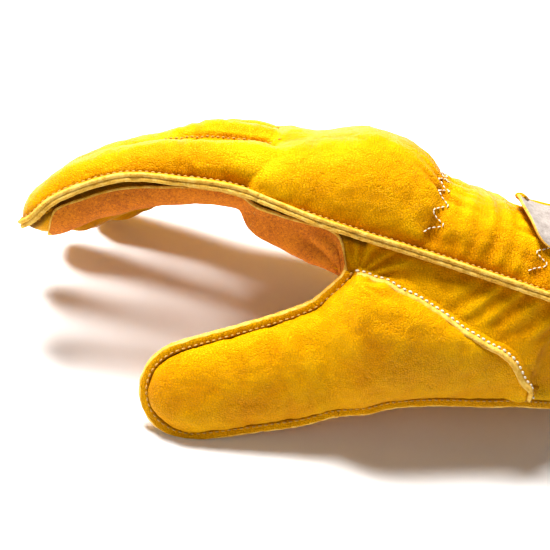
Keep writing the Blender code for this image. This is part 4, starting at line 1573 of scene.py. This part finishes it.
# The tab: the shares across the back of its near edge (hinge, free end) and of its far edge,
# and the folded strip's section as (out, up) in mm
TAB_NEAR = (-0.92, -0.50)
TAB_FAR = 0.26
TAB_CURL, TAB_WAVE = 3.0, 0.3
TAB_THICK, TAB_EDGE_WAVE = 1.3, 0.3
TAB_FOLD = ((-3.4, -1.2), (-3.5, 0.9), (-2.4, 1.45), (0.2, 1.5), (1.1, 0.7), (1.2, 0.0),
            (1.0, -0.9), (0, -1.5), (-2.4, -1.5))


class GLOVE_OT_tab(bpy.types.Operator):
    """Makes the pull tab on the back of the wrist: fleshy outside, with a folded yellow edge"""

    bl_idname = "glove.tab"
    bl_label = "Pull tab"

    def execute(self, context):
        finish = finishes()
        rows = []
        for t in steps(0, 1, 34):
            row = []
            for far in steps(0, 1, 60):
                share = (TAB_NEAR[0] + (TAB_NEAR[1] - TAB_NEAR[0]) * t ** 4) * (1 - far)
                share += TAB_FAR * far
                station = TAB_END - (TAB_END - TAB_START - TAB_SLANT * far) * t
                spot = hand_back(station, share)
                ahead = (hand_back(station, share + 0.01) - hand_back(station, share - 0.01))
                out = Vector((0, -ahead.z, ahead.y)).normalized()
                curl = TAB_CURL * t * t * (1 - far) + TAB_WAVE * math.sin(share * 22) * t
                row.append(np.array(spot + out * TAB_STAND) + (0, 0, curl))
            rows.append(row)
        rows = np.array(rows)
        along = np.gradient(rows, axis=0)
        across = np.gradient(rows, axis=1)
        outs = unit(np.cross(along, across))
        outs *= np.sign(outs[..., 2:3])
        materials = [finish["flesh"], finish["edge"], finish["grain"]]
        tab = sheet_piece("pull_tab", rows, outs, TAB_THICK, materials, TAB_EDGE_WAVE, 9)
        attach(tab, "tab")
        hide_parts("wrist_tab")
        rim = np.concatenate([rows[-1, 2:-1], rows[::-1, -1]])
        rim_outs = np.concatenate([outs[-1, 2:-1], outs[::-1, -1]])
        centre = rows.mean(axis=(0, 1))
        rim = eased(rim, 3)
        rim_ahead = unit(np.gradient(rim, axis=0))
        away = unit(rim - centre)
        away = unit(away - (away * rim_ahead).sum(axis=1, keepdims=True) * rim_ahead)
        net = bmesh.new()
        swept(net, rim, away, TAB_FOLD, 0.15, 4, unit(rim_outs))
        bmesh.ops.recalc_face_normals(net, faces=net.faces[:])
        net.verts.index_update()
        points = np.array([v.co for v in net.verts])
        faces = [[v.index for v in f.verts] for f in net.faces]
        net.free()
        zeros = np.zeros(len(points))
        folded = make_mesh("tab_binding", points, faces, [finish["grain"]], [0] * len(faces),
                           {"tone_and_relief_shade": zeros + 0.6, "groove_shade": zeros})
        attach(folded, "tab")
        return {"FINISHED"}


# Soft light: (name, place in metres, watts, width, height), all turned to one spot
LIGHT_AIM = Vector((0, 0, 0.04))
LIGHTS = (("key", (-0.35, 0.35, 1.0), 40.0, 0.45, 0.45),
          ("fill", (-0.5, -1.0, 0.8), 2.2, 0.8, 0.6))
SKY_COLOUR = (1.0, 0.88, 0.78, 1)
SKY_STRENGTH = 0.15
# The camera, in the hand's frame and in mm: what it looks at, its own directions, its distance
# and how wide a strip it sees there
CAMERA_TARGET = Vector((9.4, -12.0, -27.3))
CAMERA_BACKWARD = Vector((-0.0788, -0.9703, 0.2287))
CAMERA_RIGHT = Vector((0.9455, 0.0, 0.3256))
CAMERA_DISTANCE = 620.0
VIEW_WIDTH = 220.0
SENSOR_WIDTH = 36.0


def room_light(name, place, power, width, height):
    lamp = bpy.data.lights.new(name, "AREA")
    lamp.shape = "RECTANGLE"
    lamp.size, lamp.size_y = width, height
    lamp.energy = power
    made = bpy.data.objects.new(name, lamp)
    made.location = place
    made.rotation_euler = (LIGHT_AIM - Vector(place)).to_track_quat("-Z", "Y").to_euler()
    bpy.context.scene.collection.objects.link(made)


class GLOVE_OT_stage(bpy.types.Operator):
    """Sets the pale floor, the soft light and the camera"""

    bl_idname = "glove.stage"
    bl_label = "Stage"

    def execute(self, context):
        scene = context.scene
        net = bmesh.new()
        bmesh.ops.create_grid(net, x_segments=2, y_segments=2, size=3.0)
        mesh = bpy.data.meshes.new("floor")
        net.to_mesh(mesh)
        net.free()
        mesh.materials.append(floor_finish(scene.glove_colours.floor))
        floor = bpy.data.objects.new("floor", mesh)
        scene.collection.objects.link(floor)
        world = bpy.data.worlds.new("studio")
        world.use_nodes = True
        back = world.node_tree.nodes["Background"]
        back.inputs["Color"].default_value = SKY_COLOUR
        back.inputs["Strength"].default_value = SKY_STRENGTH
        scene.world = world
        for name, place, power, width, height in LIGHTS:
            room_light(name, place, power, width, height)
        backward = CAMERA_BACKWARD.normalized()
        right = CAMERA_RIGHT.normalized()
        upward = backward.cross(right).normalized()
        right = upward.cross(backward).normalized()
        turn = TURN @ Matrix((right, upward, backward)).transposed()
        data = bpy.data.cameras.new("camera")
        data.sensor_width = SENSOR_WIDTH
        data.lens = SENSOR_WIDTH * CAMERA_DISTANCE / VIEW_WIDTH
        camera = bpy.data.objects.new("camera", data)
        place = Vector(room([CAMERA_TARGET + backward * CAMERA_DISTANCE])[0])
        camera.matrix_world = Matrix.Translation(place) @ turn.to_4x4()
        scene.collection.objects.link(camera)
        scene.camera = camera
        scene.view_settings.view_transform = "Standard"
        return {"FINISHED"}


OPERATORS = (GLOVE_OT_leather, GLOVE_OT_flanges, GLOVE_OT_lap, GLOVE_OT_suede,
             GLOVE_OT_stitches, GLOVE_OT_shirring, GLOVE_OT_cuff, GLOVE_OT_tab, GLOVE_OT_stage)


class GLOVE_PT_panel(bpy.types.Panel):
    """Lists the glove's sizes, its colours and its pieces in order"""

    bl_idname = "GLOVE_PT_panel"
    bl_label = "Leather glove"
    bl_space_type = "VIEW_3D"
    bl_region_type = "UI"
    bl_category = "Glove"

    def draw(self, context):
        for group in (context.scene.glove_sizes, context.scene.glove_colours):
            box = self.layout.box()
            for key in type(group).__annotations__:
                box.prop(group, key)
        for operator in OPERATORS:
            self.layout.operator(operator.bl_idname)


CLASSES = (GLOVE_PG_sizes, GLOVE_PG_colours, *OPERATORS, GLOVE_PT_panel)


def register():
    for one in CLASSES:
        bpy.utils.register_class(one)
    bpy.types.Scene.glove_sizes = bpy.props.PointerProperty(type=GLOVE_PG_sizes)
    bpy.types.Scene.glove_colours = bpy.props.PointerProperty(type=GLOVE_PG_colours)


def unregister():
    del bpy.types.Scene.glove_colours
    del bpy.types.Scene.glove_sizes
    for one in reversed(CLASSES):
        bpy.utils.unregister_class(one)


def main():
    register()
    for operator in OPERATORS:
        group, name = operator.bl_idname.split(".")
        getattr(getattr(bpy.ops, group), name)()
    bpy.context.view_layer.update()


if __name__ == "__main__":
    main()
